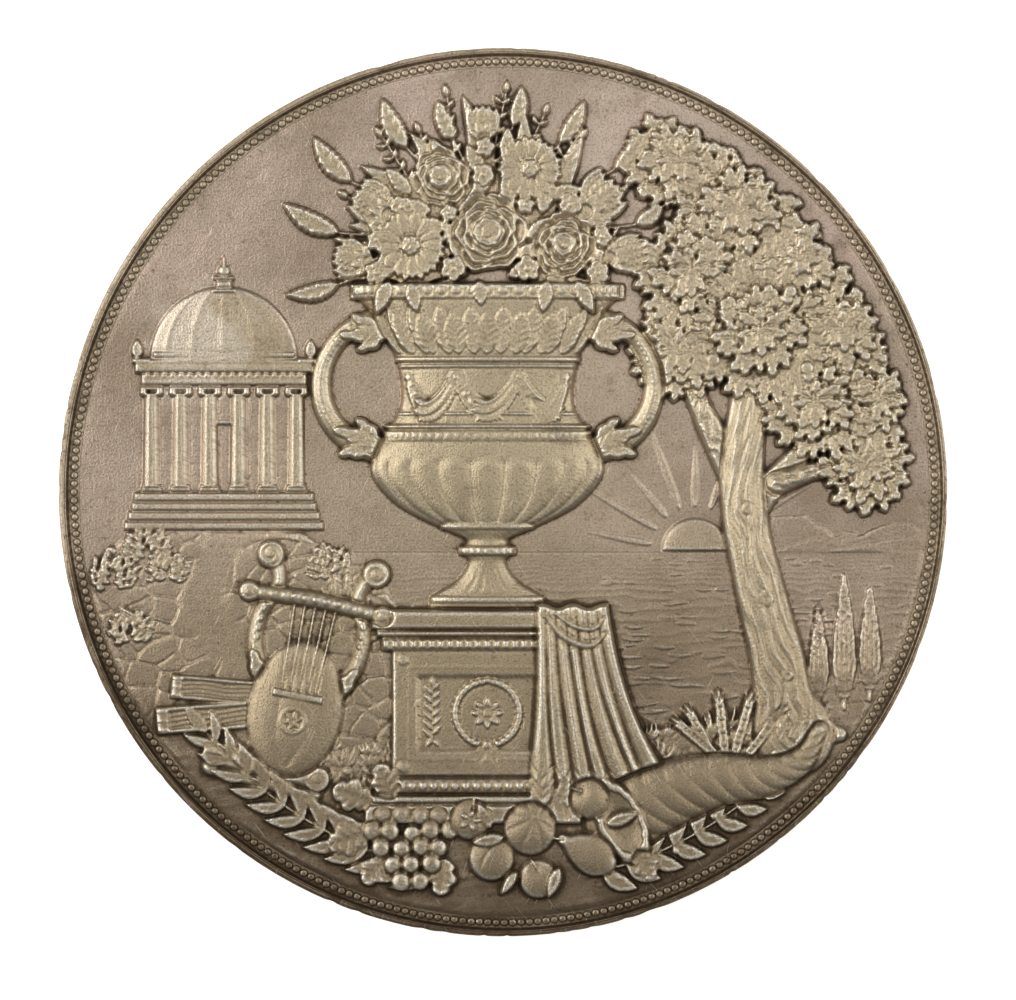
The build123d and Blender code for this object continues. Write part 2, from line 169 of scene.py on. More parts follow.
horn = table(
    Section, (27, -77, 9.0, 62), (37, -72, 8.2, 66), (49, -68, 6.8, 62), (61, -67, 5.0, 56),
    (70, -63, 3.4, 48), (74, -56, 2.2, 42))
fruit = table(
    Dome, (8, -91, 4.8, 56), (-3, -86, 5.6, 66), (20, -72, 5.0, 70), (-8, -77, 5.0, 78), (17, -82, 6.2, 72),
    (6, -79, 6.5, 76))
berry = Dome(-22, -76, 2.5, 76)
berry_rows = [4, 5, 4, 3, 2]
wheat = [(50, -64, 118, 13), (52, -63, 96, 14), (54, -62, 74, 13), (57, -62, 52, 12), (50, -62, 140, 11)]
vine_leaves = [(-31, -73, 160, 10), (-32, -80, 198, 10), (-26, -72, 115, 9), (-14, -86, 262, 9),
               (31, -84, 300, 8), (-28, -86, 230, 8)]
harvest_leaves = [(12, -75, 70, 9), (0, -81, 190, 8), (13, -88, 250, 8), (24, -78, 20, 8), (-3, -79, 118, 7),
                  (3, -89, 235, 7)]

axis = np.linspace(-101, 101, board_count, dtype=np.float32)
X, Y = np.meshgrid(axis, axis)
H = np.zeros_like(X)
step = float(axis[1] - axis[0])
everywhere = (slice(None), slice(None))
outward = np.hypot(X, Y)  # distance from the middle of the design


# Relief: working on the board of heights

def window(x0, x1, y0, y1, margin=2.0):
    """The part of the board that holds a box, with a margin."""
    low_x, high_x = np.searchsorted(axis, [x0 - margin, x1 + margin])
    low_y, high_y = np.searchsorted(axis, [y0 - margin, y1 + margin])
    return (slice(low_y, high_y), slice(low_x, high_x))


def disc(x, y, radius):
    """The part of the board round a point, and the distances from the point along both axes."""
    place = window(x - radius, x + radius, y - radius, y + radius)
    return place, X[place] - x, Y[place] - y


def fade(t):
    """A smooth step from 0 to 1."""
    t = np.clip(t, 0, 1)
    return t * t * (3 - 2 * t)


def bell(t, width):
    """A bell curve: 1 at 0, and almost 0 beyond twice the width."""
    return np.exp(-((t / width) ** 2))


def cap(t):
    """A round profile: 1 in the middle and 0 at both sides."""
    return np.sqrt(np.clip(1 - t**2, 0, 1))


def noise(seed, size_x, size_y=None, turn=0):
    """Smooth noise from -1 to 1 over the whole board, in bumps of about the given size along a direction."""
    size_y = size_y or size_x
    c, s = cos(radians(turn)), sin(radians(turn))
    u, v = (X * c + Y * s + 150) / size_x, (Y * c - X * s + 150) / size_y
    i, j = u.astype(int), v.astype(int)
    f, g = fade(u - i), fade(v - j)
    a = np.random.default_rng(seed).uniform(-1, 1, (j.max() + 2, i.max() + 2))
    low = a[j, i] * (1 - f) + a[j, i + 1] * f
    high = a[j + 1, i] * (1 - f) + a[j + 1, i + 1] * f
    return (low * (1 - g) + high * g).astype(np.float32)


def rough(seed, size, stretch=1.0, turn=0, octaves=4):
    """Noise summed over ever finer bumps, each set turned against the last."""
    total = 0
    for k in range(octaves):
        bump = size / 2**k
        total = total + noise(seed + 50 * k, bump * stretch, bump, turn + 31 * k * (stretch == 1)) / 2**k
    return total / 1.4


# How firmly each stretch of the design's outlines is cut
firmness = np.clip(0.62 + 0.75 * rough(801, 9, octaves=3), 0.12, 1.3)


def blurred(values, radius):
    """Values smoothed by a bell curve of the given radius in design units."""
    reach = int(3 * radius / step) + 1
    weights = np.exp(-0.5 * (np.arange(-reach, reach + 1) * step / radius) ** 2)
    weights /= weights.sum()
    for _ in range(2):
        padded = np.pad(values, ((reach, reach), (0, 0)), mode="edge")
        values = sum(w * padded[k:k + values.shape[0]] for k, w in enumerate(weights)).T
    return values.astype(np.float32)


def lay(place, depth, height, edge=1.2, cut=3.0, cut_width=0.45):
    """Lay a form on the board. Depth is how far inside its outline a point is, height its own surface.

    Its edge rises from what is under it in a quarter round, with a fine cut along the outside."""
    under = H[place]
    t = np.clip(depth / edge, 0, 1)
    rounded = np.sqrt(1 - (1 - t) ** 2)
    groove = cut * firmness[place] * bell(depth, cut_width)
    H[place] = np.where(depth > 0, under + (height - under) * rounded, under - groove)


def local(place, x, y, turn):
    """Coordinates along and across a direction in degrees, from a point."""
    c, s = cos(radians(turn)), sin(radians(turn))
    dx, dy = X[place] - x, Y[place] - y
    return dx * c + dy * s, dy * c - dx * s


def polar(x, y, radius, angle):
    """The place at a distance and a bearing in degrees from a point."""
    return Spot(x + radius * cos(radians(angle)), y + radius * sin(radians(angle)))


def ring(count, x, y, radius, turn=0):
    """Bearings and places evenly spaced on a circle."""
    return [(turn + 360 * i / count, polar(x, y, radius, turn + 360 * i / count)) for i in range(count)]


def under(x, y):
    """Height of the board at a point."""
    i, j = np.searchsorted(axis, [x, y])
    return float(H[min(j, board_count - 1), min(i, board_count - 1)])


# Relief: plain forms

def course(x, half, y0, y1, height, edge=0.8, cut=3.0, crown=0.0):
    """A level block whose middle is at x. A crown rounds its front like a moulding."""
    x0, x1 = x - half, x + half
    place = window(x0, x1, y0, y1)
    middle, tall = (y0 + y1) / 2, (y1 - y0) / 2
    away = np.abs(Y[place] - middle)
    depth = np.minimum(np.minimum(X[place] - x0, x1 - X[place]), tall - away)
    lay(place, depth, height - crown * np.clip(away / tall, 0, 1) ** 2, edge, cut)


def ball(x, y, radius, height, base, edge=0.6, cut=3.0):
    """A round boss. Height is its rise over base."""
    place, dx, dy = disc(x, y, radius)
    share = np.hypot(dx, dy) / radius
    lay(place, (1 - share) * radius, base + height * cap(share), edge, cut)


def smooth_route(rows, count):
    """Rows of a table as a smooth line through them, each point with its width and height."""
    p = np.array([tuple(row) for row in rows], dtype=float)
    p = np.vstack([2 * p[0] - p[1], p, 2 * p[-1] - p[-2]])
    points = []
    for s in np.linspace(0, len(rows) - 1, count):
        i = min(int(s), len(rows) - 2)
        t = s - i
        a, b, c, d = p[i:i + 4]
        points.append(0.5 * (2 * b + (c - a) * t + (2 * a - 5 * b + 4 * c - d) * t**2
                             + (3 * b - a - 3 * c + d) * t**3))
    return np.array(points)


def follow(points):
    """Where a route's form lies on the board: the share of its length, and the place across its width.

    Across runs from -1 to 1 between its sides. Width and height are the route's own there."""
    width = points[:, 2].max()
    (x0, y0), (x1, y1) = points[:, :2].min(0) - width, points[:, :2].max(0) + width
    place = window(x0, x1, y0, y1)
    gx, gy = X[place], Y[place]
    best = np.full(gx.shape, 1e9, dtype=np.float32)
    share, across, half, height = (np.zeros_like(best) for _ in range(4))
    for i in range(len(points) - 1):
        (ax, ay, aw, ah), (bx, by, bw, bh) = points[i], points[i + 1]
        dx, dy = bx - ax, by - ay
        length = dx * dx + dy * dy + 1e-9
        t = np.clip(((gx - ax) * dx + (gy - ay) * dy) / length, 0, 1)
        w = aw + (bw - aw) * t
        px, py = gx - ax - t * dx, gy - ay - t * dy
        ratio = np.hypot(px, py) / w
        near = ratio < best
        best[near] = ratio[near]
        side = np.where(dx * py - dy * px > 0, 1, -1)
        for kept, values in ((across, ratio * side), (share, (i + t) / (len(points) - 1)), (half, w),
                             (height, ah + (bh - ah) * t)):
            kept[near] = values[near]
    return place, share, across, half, height


def tube(rows, count=40, edge=0.7, cut=3.0, base=0.0, relief=None, flat=0.5):
    """A round form along a route. Relief adds detail from the share along it and the place across."""
    place, share, across, half, height = follow(smooth_route(rows, count))
    surface = base + (height - base) * np.clip(1 - across**2, 0, 1) ** flat
    if relief is not None:
        surface = surface + relief(share, across, half)
    lay(place, (1 - np.abs(across)) * half, surface, edge, cut)


def leaf(row, base, rise, tilt, bend=0.0, lobes=0, veins=0, cut=3.0, sharp=0.8, edge=0.5, cup=4.0,
         teeth=0):
    """A leaf that lies on base: its tip stands higher by tilt, with a midrib and side veins."""
    x, y, turn, length, width = row
    tip = polar(x, y, length, turn)
    place = window(min(x, tip.x) - width, max(x, tip.x) + width, min(y, tip.y) - width, max(y, tip.y) + width)
    u, v = local(place, x, y, turn)
    u = u / length
    v = v - bend * length * np.sin(pi * np.clip(u, 0, 1)) * 0.5
    inside = np.clip(u, 0.0005, 0.9995)
    half = width / 2 * np.sin(pi * inside**sharp) ** (0.5 if lobes else 0.75)
    if lobes:
        half = half * (0.70 + 0.30 * np.abs(np.cos(pi * lobes * inside - 1.1)) ** 0.8)
    if teeth:
        half = half * (1 - 0.16 * ((teeth * inside) % 1))
    outside = -np.hypot(v, np.minimum(np.abs(u), np.abs(u - 1)) * length)
    depth = np.where((u > 0) & (u < 1), half - np.abs(v), outside)
    spread = np.clip(np.abs(v) / (half + 0.01), 0, 1)
    top = base + rise + tilt * inside + cup * (1 - spread**2)
    if width > 3:
        top = top - 1.1 * cup * (1 - spread) ** 3 + 3.0 * bell(v, 0.26) * (1 - 0.6 * inside)
    else:
        top = top - 3.5 * bell(v, 0.28) * (1 - inside)
    if veins:
        deep = min(0.6 + 0.38 * width, 3.6)
        top = top + deep * np.cos(2 * pi * (veins * inside * 1.6 - np.abs(v) / width * 2.2)) * spread**0.7
    lay(place, depth, top, edge, cut)


# Relief: ground, hill, sea and sky

def line_over(points):
    """The level of a bounding line at every place on the board."""
    xs, ys = zip(*points)
    return np.interp(X, xs, ys).astype(np.float32)


def sky():
    """The field itself, slightly uneven, with thin banks of cloud in the lowest relief."""
    H[:] += 0.5 * noise(1, 34, turn=20) + 0.3 * noise(2, 11, turn=50)
    billows = rough(6, 17, 2.3, turn=5, octaves=5) + 0.55 * noise(9, 60) + 0.3 * np.abs(noise(10, 5, 3))
    banks = np.clip(billows - 0.30, 0, 1) ** 0.55 * fade((Y - 4) / 16)
    H[:] += 3.8 * banks * (0.8 + 0.2 * rough(12, 3, octaves=2))


def sea():
    """Open water in broken ripples that widen towards the shore, with single crests."""
    place = window(-50, 101, -60, horizon)
    down = np.clip(horizon - Y, 0, 60)
    bend = 1.1 * rough(3, 16, 2.6, octaves=3) + 0.35 * noise(4, 3.5, 1.6)
    phase = 8.5 * np.log(1 + down / 5) + bend
    crests = np.clip(np.sin(2 * pi * phase), 0, 1) ** 1.6
    broken = 0.35 + 0.65 * fade(0.5 + 0.9 * noise(5, 13, 2.2))
    surface = sea_rise + 0.05 * down + (2.0 + 0.08 * down) * crests * broken
    depth = np.minimum(horizon - Y, 2 + 0 * Y)
    lay(place, depth[place], surface[place], edge=0.5, cut=2)
    draw = np.random.default_rng(65)
    for _ in range(110):
        near = draw.uniform(0.06, 1) ** 1.3
        y, length = horizon - 42 * near, 3 + 7 * near * draw.uniform(0.5, 1)
        crest = Leaf(draw.uniform(10, 96), y, draw.uniform(-4, 4), length, 0.7 + 0.9 * near)
        if hypot(crest.x + length, y) < 97:
            leaf(crest, sea_rise + 1.5, rise=2 + 2.5 * near, tilt=1, bend=draw.uniform(-0.12, 0.12),
                 cut=2.5, cup=2, edge=0.3)


def far_shore():
    """Three ranges of low hills across the water, with hatched slopes."""
    inland = 12 * fade((outward - 84) / 15)
    for seed, left, height, top in ((61, 52, 8, 9.5), (63, 62, 12, 6.5), (67, 74, 16, 3.6)):
        swell = fade((X - left) / 15) * (0.72 + 0.45 * noise(seed, 10) + 0.12 * noise(seed + 30, 3.5))
        outline = horizon + top * swell + 0.25 * noise(seed + 1, 1.2)
        hatch = 1.8 * rough(seed + 20, 1.0, 3.5, turn=162 - 2 * left, octaves=2)
        surface = height - 0.35 * np.clip(outline - Y, 0, 9) + hatch - inland
        lay(everywhere, np.minimum(outline - Y, X - left), surface, edge=0.8)


def sunrise():
    """A half sun on the horizon. Its rays are long and short wedges."""
    x, y, radius, height = sun
    for i in range(ray_count):
        bearing = 180 * (i + 0.5) / ray_count
        start = polar(x, y, radius + 2.5, bearing)
        leaf((*start, bearing, 25 if i % 2 else 16, 1.7), 0, rise=7, tilt=-6, cup=3, cut=1.2, sharp=0.5)
    place = window(x - radius, x + radius, horizon, y + radius)
    share = np.hypot(X[place] - x, Y[place] - y) / radius
    depth = np.minimum((1 - share) * radius, Y[place] - horizon)
    lay(place, depth, height * cap(share) + 4, edge=0.6)


def rocks(seed, count, x0, x1, y0, y1):
    """Broken rock over a box: faces at slight angles with rounded edges between them."""
    place = window(x0, x1, y0, y1)
    bend = 2.4 * rough(seed, 11, turn=20, octaves=3)[place]
    x, y = X[place] + bend, Y[place] * 1.35 + 0.9 * rough(seed + 1, 8, octaves=3)[place]
    draw = np.random.default_rng(seed)
    near, second = np.full(x.shape, 1e6), np.full(x.shape, 1e6)
    face = np.zeros_like(x)
    for _ in range(count):
        mx, my = draw.uniform(x0, x1), 1.35 * draw.uniform(y0, y1)
        away = np.hypot(x - mx, y - my)
        own = draw.uniform(-2.2, 2.2) + draw.uniform(-0.55, 0.55) * (x - mx)
        own = own + draw.uniform(0.05, 0.75) * (y - my)
        closer = away < near
        second = np.where(closer, near, np.minimum(second, away))
        face = np.where(closer, own, face)
        near = np.where(closer, away, near)
    return place, np.clip(face, -4.5, 4.5) + 4.2 * fade((second - near) / 0.9) - 4.2


def bush(x, y, size, base):
    """A round shrub of small leaves, the inner ones laid last."""
    draw = np.random.default_rng(int(abs(x) * 7))
    spots = []
    for i in range(64):
        share = sqrt((i + 0.5) / 64)
        spots.append((polar(x, y, share * size * draw.uniform(0.85, 1.05), 137.5 * i), share, 137.5 * i))
    for spot, share, bearing in reversed(spots):
        if spot.y > y - 0.45 * size:
            turn = (bearing % 360 + 90) % 360 * 0.5 + draw.uniform(-40, 40)
            here = base + 8 * sqrt(1 - share**2)
            leaf((*spot, turn, 2.3, 1.5), here, rise=2.6, tilt=2, cut=3.5, cup=2.5, edge=0.35)


def hill():
    """The rocky hill under the temple, with shrubs along its brow and a path down its side."""
    depth = line_over(hill_line) + 1.0 * noise(11, 7, turn=15) + 0.4 * noise(16, 2.2) - Y
    slope = 6 * np.clip(-(Y + 9) / 40, 0, 1)
    surface = hill_rise + 1.6 * rough(13, 16, octaves=4) + slope
    place, face = rocks(41, 150, -100, -6, -62, -8)
    surface[place] += 1.4 * face
    surface += 0.7 * rough(14, 2.2, octaves=3)
    path_x = -66 + 9 * np.sin((Y + 12) / 9.5) - 0.25 * (Y + 10)
    path = fade(2.2 - np.abs(X - path_x + 0.6 * noise(15, 3)) / (2.4 - 0.04 * Y))
    worn_steps = hill_rise - 2.0 + slope + 1.2 * np.abs(np.sin(pi * (Y + 0.08 * X) / 2.3)) ** 0.5
    surface = surface + path * (worn_steps - surface) + 0.7 * rough(17, 1.0, 4, turn=-28, octaves=2)
    surface -= 12 * fade((outward - 84) / 15)
    lay(everywhere, np.minimum(depth, -X - 4), surface, edge=2.2)
    for x, y, size in bushes:
        bush(x, y, size, hill_rise + 1)


def tuft(x, y, size, draw):
    """A tuft of grass: blades that lean away from its root."""
    base = under(x, y) - 1
    for k in range(7):
        lean = 26 * (k - 3) / 3 + draw.uniform(-8, 8)
        blade = (x + 0.22 * (k - 3), y - 0.3, 90 - 1.5 * lean, size * draw.uniform(0.7, 1.1), 0.85)
        leaf(blade, base, rise=4, tilt=4, bend=-0.4 * lean / 26, cut=2, cup=2, edge=0.3)


def ground():
    """The bank in front: soft ledges, stones, and tufts of grass."""
    crest = line_over(ground_line) + 0.7 * noise(21, 9, turn=10) + 0.25 * noise(26, 2.6)
    folds = 1 - np.abs(rough(22, 22, 3.2, turn=6, octaves=4))
    soil = 7 * folds**3 + 1.5 * rough(24, 2.6, 1.4, octaves=3)
    strokes = 1.5 * rough(27, 1.1, 4.5, turn=8, octaves=2) + 0.5 * rough(28, 0.9, octaves=2)
    sunk = (ground_rise - 9) * fade((outward - 82) / 17)
    surface = ground_rise - 6 + soil + strokes + 3 * fade((crest - Y) / 9) - sunk
    lay(everywhere, crest - Y, surface, edge=1.6, cut=4)
    draw = np.random.default_rng(8)
    for _ in range(150):
        spot = polar(0, 0, draw.uniform(60, 96), draw.uniform(-150, -30))
        size = draw.uniform(0.5, 1.5)
        if spot.y < np.interp(spot.x, *zip(*ground_line)) - 3:
            ball(*spot, size, 2.5 + 2 * size, under(*spot) - 1, edge=0.5)
    for _ in range(120):
        x = draw.uniform(-84, 86)
        y = np.interp(x, *zip(*ground_line)) - abs(draw.normal(0, 9)) - 0.3
        if hypot(x, y) < 94:
            tuft(x, y, draw.uniform(2.8, 5.2), draw)


def cypress(x, foot, top, half):
    """A tall flame-shaped tree of small upright sprays."""
    rise = top - foot
    tube([(x, foot - 2, 0.6, 22), (x, foot + 0.1 * rise, 0.6, 22)], count=4)
    tube([(x, foot + 1.5, 0.5 * half, 18), (x, foot + 0.2 * rise, half, 26),
          (x, foot + 0.5 * rise, 0.85 * half, 26), (x, foot + 0.8 * rise, 0.42 * half, 20),
          (x, top, 0.1, 12)])
    draw = np.random.default_rng(int(x))
    for k in range(24):
        share = k / 23
        y = top - 2.6 - share * (rise - 4.4)
        wide = half * np.interp(share, (0, 0.2, 0.5, 0.8, 1), (0, 0.26, 0.55, 0.66, 0.34))
        for j in (-1, 1, -0.5, 0.5, 0):
            lean = 90 - 11 * j + draw.uniform(-5, 5)
            row = (x + j * wide, y + draw.uniform(-0.3, 0.3), lean, draw.uniform(2.0, 2.7), 0.95)
            leaf(row, under(x + 0.8 * j * wide, y) - 1, rise=2.5, tilt=2.5, cut=4, cup=2.5, edge=0.3)


# Relief: buildings

def shaft(x, y0, y1, half, height, flutes, taper):
    """An upright half-round shaft, fluted and slightly tapered."""
    place = window(x - half, x + half, y0, y1)
    width = half * (1 - taper * (Y[place] - y0) / (y1 - y0))
    across = np.clip((X[place] - x) / width, -1, 1)
    surface = height * (1 - across**2) ** 0.4
    surface = surface - 3.2 * np.abs(np.cos(flutes * np.arcsin(across))) ** 2 * (1 - across**4)
    depth = np.minimum(width - np.abs(X[place] - x), np.minimum(Y[place] - y0, y1 - Y[place]))
    lay(place, depth, surface, edge=0.35)


def row_of(count, x, half):
    """Places spaced evenly over a width about x, each with the spacing."""
    pitch = ((x + half) - (x - half)) / count
    return [(x - half + pitch * (i + 0.5), pitch) for i in range(count)]


def column(x):
    """A fluted column on its base, with a scroll on both sides of its capital."""
    shaft(x, 1.2, 23.4, column_half_width, column_height, 4, taper=0.14)
    for half, y0, y1, rise, edge, crown in (
            (2.6, 0.1, 0.9, 0, 0.3, 1), (2.3, 0.9, 1.7, 1, 0.4, 5), (2.7, 23.9, 24.9, 1, 0.3, 2),
            (1.9, 22.7, 23.2, 1, 0.3, 4)):
        course(x, half, y0, y1, column_height + rise, edge, crown=crown)
    for side in (-1.9, 1.9):
        ball(x + side, 23.4, 0.95, 4, column_height - 2, edge=0.4)
        ball(x + side, 23.4, 0.45, 3, column_height, edge=0.3)


def temple():
    """A round temple: steps, drum, columns, entablature and a ribbed dome with a lantern."""
    a = temple_axis
    course(a, 17.5, 0, 25, 12, edge=0.6)
    wall = window(a - 17, a + 17, 0.5, 24.5, margin=0)
    joints = np.abs(np.sin(pi * (Y[wall] - 0.5) / 3.0)) ** 0.25
    shift = np.floor((Y[wall] - 0.5) / 3.0) % 2
    uprights = np.abs(np.sin(pi * ((X[wall] - a) / 5.2 + 0.5 * shift))) ** 0.2
    H[wall] -= 2.6 * (1 - joints * uprights)
    course(a, 2.9, 0, 17.0, 18, edge=0.4)
    course(a, 2.0, 0, 16.0, 2, edge=0.3, cut=0)
    for row in temple_courses:
        course(a, row.half_width, row.bottom, row.top, row.height, edge=0.45, crown=row.crown)
    course(a, 19.5, 26.3, 26.6, 27, edge=0.2, cut=0)
    for x, pitch in row_of(19, a, 18.9):
        course(x, 0.27 * pitch, 27.1, 28.1, 32, edge=0.25, cut=2)
    course(a, 21.6, 30.2, 31.6, 36, edge=0.4, crown=3)
    for offset in column_offsets:
        column(a + offset)
    x, y, radius, height = temple_dome
    place = window(x - radius, x + radius, y, y + radius)
    share = np.hypot(X[place] - x, Y[place] - y) / radius
    tall = np.clip((Y[place] - y) / radius, 0, 1)
    bearing = np.clip((X[place] - x) / (radius * np.sqrt(np.clip(1 - tall**2, 0.01, 1))), -1, 1)
    ribs = 2.6 * np.abs(np.cos(7 * np.arcsin(bearing))) ** 12 * (tall < 0.93)
    tiles = 0.9 * np.abs(np.sin(pi * 9 * tall**0.8)) ** 0.3
    surface = 8 + (height - 8) * cap(share)**0.8 + ribs + tiles
    lay(place, np.minimum((1 - share) * radius, Y[place] - y), surface, edge=0.8)
    for half, y0, y1, level, edge, crown in (
            (16.6, 31.6, 33.0, 35, 0.4, 2), (2.6, 46.9, 47.9, 33, 0.4, 0), (1.9, 47.9, 50.0, 28, 0.6, 2),
            (2.5, 50.0, 50.8, 32, 0.4, 0)):
        course(a, half, y0, y1, level, edge, crown=crown)
    ball(a, 52.0, 1.6, 16, 10)
    leaf((a, 53.0, 90, 3.0, 1.0), 8, rise=12, tilt=0)
    for x in (a - 20.4, a + 20.4):
        leaf((x, 31.4, 90, 4.6, 3.0), 10, rise=16, tilt=0, veins=2)


def plinth():
    """The plinth: mouldings, dentils and beads, and a sunk panel with sprays on both sides of a wreath."""
    a = urn_axis
    for row in plinth_courses:
        course(a, row.half_width, row.bottom, row.top, row.height, cut=4, crown=row.crown)
    foot, head, panel_half = -61.5, -42.5, 17
    place = window(a - panel_half, a + panel_half, foot, head)
    depth = np.minimum(panel_half - np.abs(X[place] - a), np.minimum(Y[place] - foot, head - Y[place]))
    H[place] -= panel_depth * fade(depth / 1.6)
    H[place] += 2.0 * bell(depth + 1.3, 0.4) * (depth > -2.4)
    for x, pitch in row_of(23, a, 25):
        course(x, 0.26 * pitch, -36.6, -34.9, 69, edge=0.35, cut=2)
    for x, pitch in row_of(21, a, 26.5):
        ball(x, -69.0, 0.42 * pitch, 8, 62, cut=2.5)
    for y in (-64.6, -39.4):
        for x in (a - 19.8, a + 19.8):
            ball(x, y, 1.5, 8, plinth_face - 1)
    base = plinth_face - panel_depth
    for x in (a - 12.9, a + 12.9):
        for i in range(12):
            row = (x, foot + 3.4 + 1.05 * i, 130 - 80 * (i % 2), 3.4 - 0.07 * i, 1.35)
            leaf(row, base, rise=6, tilt=3, cut=2.5, cup=3)
        for turn, y in ((90, 15.7), (-55, 3.7), (-125, 3.7)):
            leaf((x, foot + y, turn, 2.6, 1.3), base, rise=6, tilt=2)
    wreath(a, (foot + head) / 2, base)


def wreath(x, y, base):
    """Laurel leaves around a ring, tied below, with a small rosette in the middle."""
    for side in (-1, 1):
        for i in range(13):
            bearing = -90 + side * (12 + 12.6 * i)
            for k, (radius, spread) in enumerate(((6.7, -28), (8.1, 24), (7.4, 0))):
                row = (*polar(x, y, radius, bearing), bearing + side * (90 + spread), 3.1, 1.35)
                leaf(row, base + 1.5 * k, rise=7, tilt=3, cut=2.5, cup=3)
    for turn in (-145, -35, -118, -62):
        leaf((x, y - 7.6, turn, 5.0, 1.7), base, rise=6, tilt=2, cut=2)
    ball(x, y - 7.5, 1.3, 11, base)
    for bearing, spot in ring(8, x, y, 0.9):
        leaf((*spot, bearing, 2.9, 1.9), base, rise=5, tilt=4, cut=2.5)
    ball(x, y, 1.2, 9, base)


# Relief: urn

def turned(rows, x, detail):
    """A turned body in elevation. Rows give the half width and height at each level."""
    levels, widths, heights = smooth_route([(*row, 0) for row in rows], 120)[:, :3].T
    place = window(x - widths.max(), x + widths.max(), levels[0], levels[-1])
    y = Y[place]
    half = np.interp(y, levels, widths)
    across = np.clip((X[place] - x) / half, -1, 1)
    surface = np.interp(y, levels, heights) * (1 - across**2) ** 0.42 + detail(np.arcsin(across), y)
    depth = np.minimum(half - np.abs(X[place] - x), np.minimum(y - levels[0], levels[-1] - y))
    lay(place, depth, surface, edge=0.8, cut=6, cut_width=0.9)
    return levels, widths, heights


def band(y, low, high, soft):
    """1 between two levels, falling to 0 outside them."""
    return fade((y - low) / soft) * fade((high - y) / soft)


def urn_detail(angle, y):
    """Gadroons on the bowl and reeding on the foot."""
    lobes = np.abs(np.cos(11 * angle))
    gadroons = 10 * (lobes**0.55 - 0.75) * band(y, -9.0, 8.5, 2.0)
    eyes = 4.0 * bell(y - 6.4, 1.0) * (lobes**2 - 0.4)
    reeds = 4.5 * (lobes**0.6 - 0.7) * band(y, -24.0, -17.5, 1.2)
    return (gadroons + eyes + reeds) * np.cos(angle) ** 0.6


def handle(side):
    """A looped handle with a beaded spine. Acanthus leaves grip it where it joins the bowl."""
    a = urn_axis
    rows = [(a + side * row.x, row.y, row.half_width, row.height) for row in handle_sections]
    tube(rows, count=50, cut=5,
         relief=lambda share, across, half: 3.0 * np.cos(2.1 * pi * across) * (1 - across**2))
    for x, y, _, height in smooth_route(rows, 40)[8:33]:
        ball(x, y, 0.72, 3, height - 2.5, edge=0.35)
    grip = dict(tilt=3, lobes=2.5, cut=5, veins=3)
    for spread in (-30, 30, 0):
        lower = (a + side * 25.5, 9.5, 90 - side * (64 + spread), 12 - 0.08 * abs(spread), 4.4)
        leaf(lower, 60, rise=9, bend=side * 0.15, **grip)
        upper = (a + side * 24, 38.5, 90 - side * (98 - spread), 11 - 0.08 * abs(spread), 4.0)
        leaf(upper, 60, rise=8, bend=-side * 0.15, **grip)


def urn():
    """The urn: handles, bowl, rings, garland, two rows of leaves, egg moulding and leaves over its lip."""
    a = urn_axis
    for side in (-1, 1):
        handle(side)
    levels, widths, heights = turned(urn_levels, a, urn_detail)
    for row in urn_rings:
        moulding(a, *row)
    garland(a, levels, widths, heights)
    for row, count in ((0, 10), (1, 9)):
        for i in range(count):
            angle = radians(158 * ((i + 0.5) / count - 0.5))
            foot, head = (np.interp(y, levels, widths) for y in (32.4, 43.5 - row))
            x0, x1 = a + foot * sin(angle), a + head * sin(angle)
            tall = 43.5 - 1.2 * row - 32.4
            base = np.interp(37, levels, heights) * cos(angle) ** 0.84
            stem = (x0, 32.4, degrees(atan2(tall, x1 - x0)), hypot(x1 - x0, tall), 5.6 * cos(angle) ** 0.8)
            leaf(stem, base - 1, rise=4, tilt=5, veins=4, cut=4.5, cup=3.5, sharp=0.9, edge=0.45)
    moulding(a, 32.5, 47.2, 1.9, 100, 0)
    for i in range(27):
        angle = pi * ((i + 0.5) / 27 - 0.5)
        x, base = a + 31.6 * sin(angle), 98 * cos(angle) ** 0.5
        place = window(x - 2, x + 2, 45.4, 49.0)
        wide = 1.5 * cos(angle) ** 0.8 + 0.35
        share = np.hypot((X[place] - x) / wide, (Y[place] - 47.3) / 1.55)
        egg = np.where(share < 0.66, 6.5 * cap(share / 0.66), 3.5 * bell(share - 0.9, 0.12) - 2)
        lay(place, 1 - share, base + egg, edge=0.15, cut=0)
    for x, y, turn, length in draped:
        leaf((x, y, turn, length, 4.4), under(x, y - 2) - 1, rise=6, tilt=1, veins=3, cut=5, teeth=8)


def moulding(x, half, y, rise, height, beads):
    """A raised ring round the urn, with beads where there are some."""
    place = window(x - half, x + half, y - rise, y + rise)
    across = np.clip((X[place] - x) / half, -1, 1)
    surface = height * (1 - across**2) ** 0.36 + 4 * cap((Y[place] - y) / rise)
    depth = np.minimum(half - np.abs(X[place] - x), rise - np.abs(Y[place] - y))
    lay(place, depth, surface, edge=0.5, cut=4)
    for i in range(beads):
        angle = pi * ((i + 0.5) / beads - 0.5)
        radius = max(0.35 * pi * half / beads * cos(angle), 0.3)
        ball(x + half * sin(angle) * 0.98, y, min(radius + 0.25, 0.9), 6, height * cos(angle) ** 0.72)


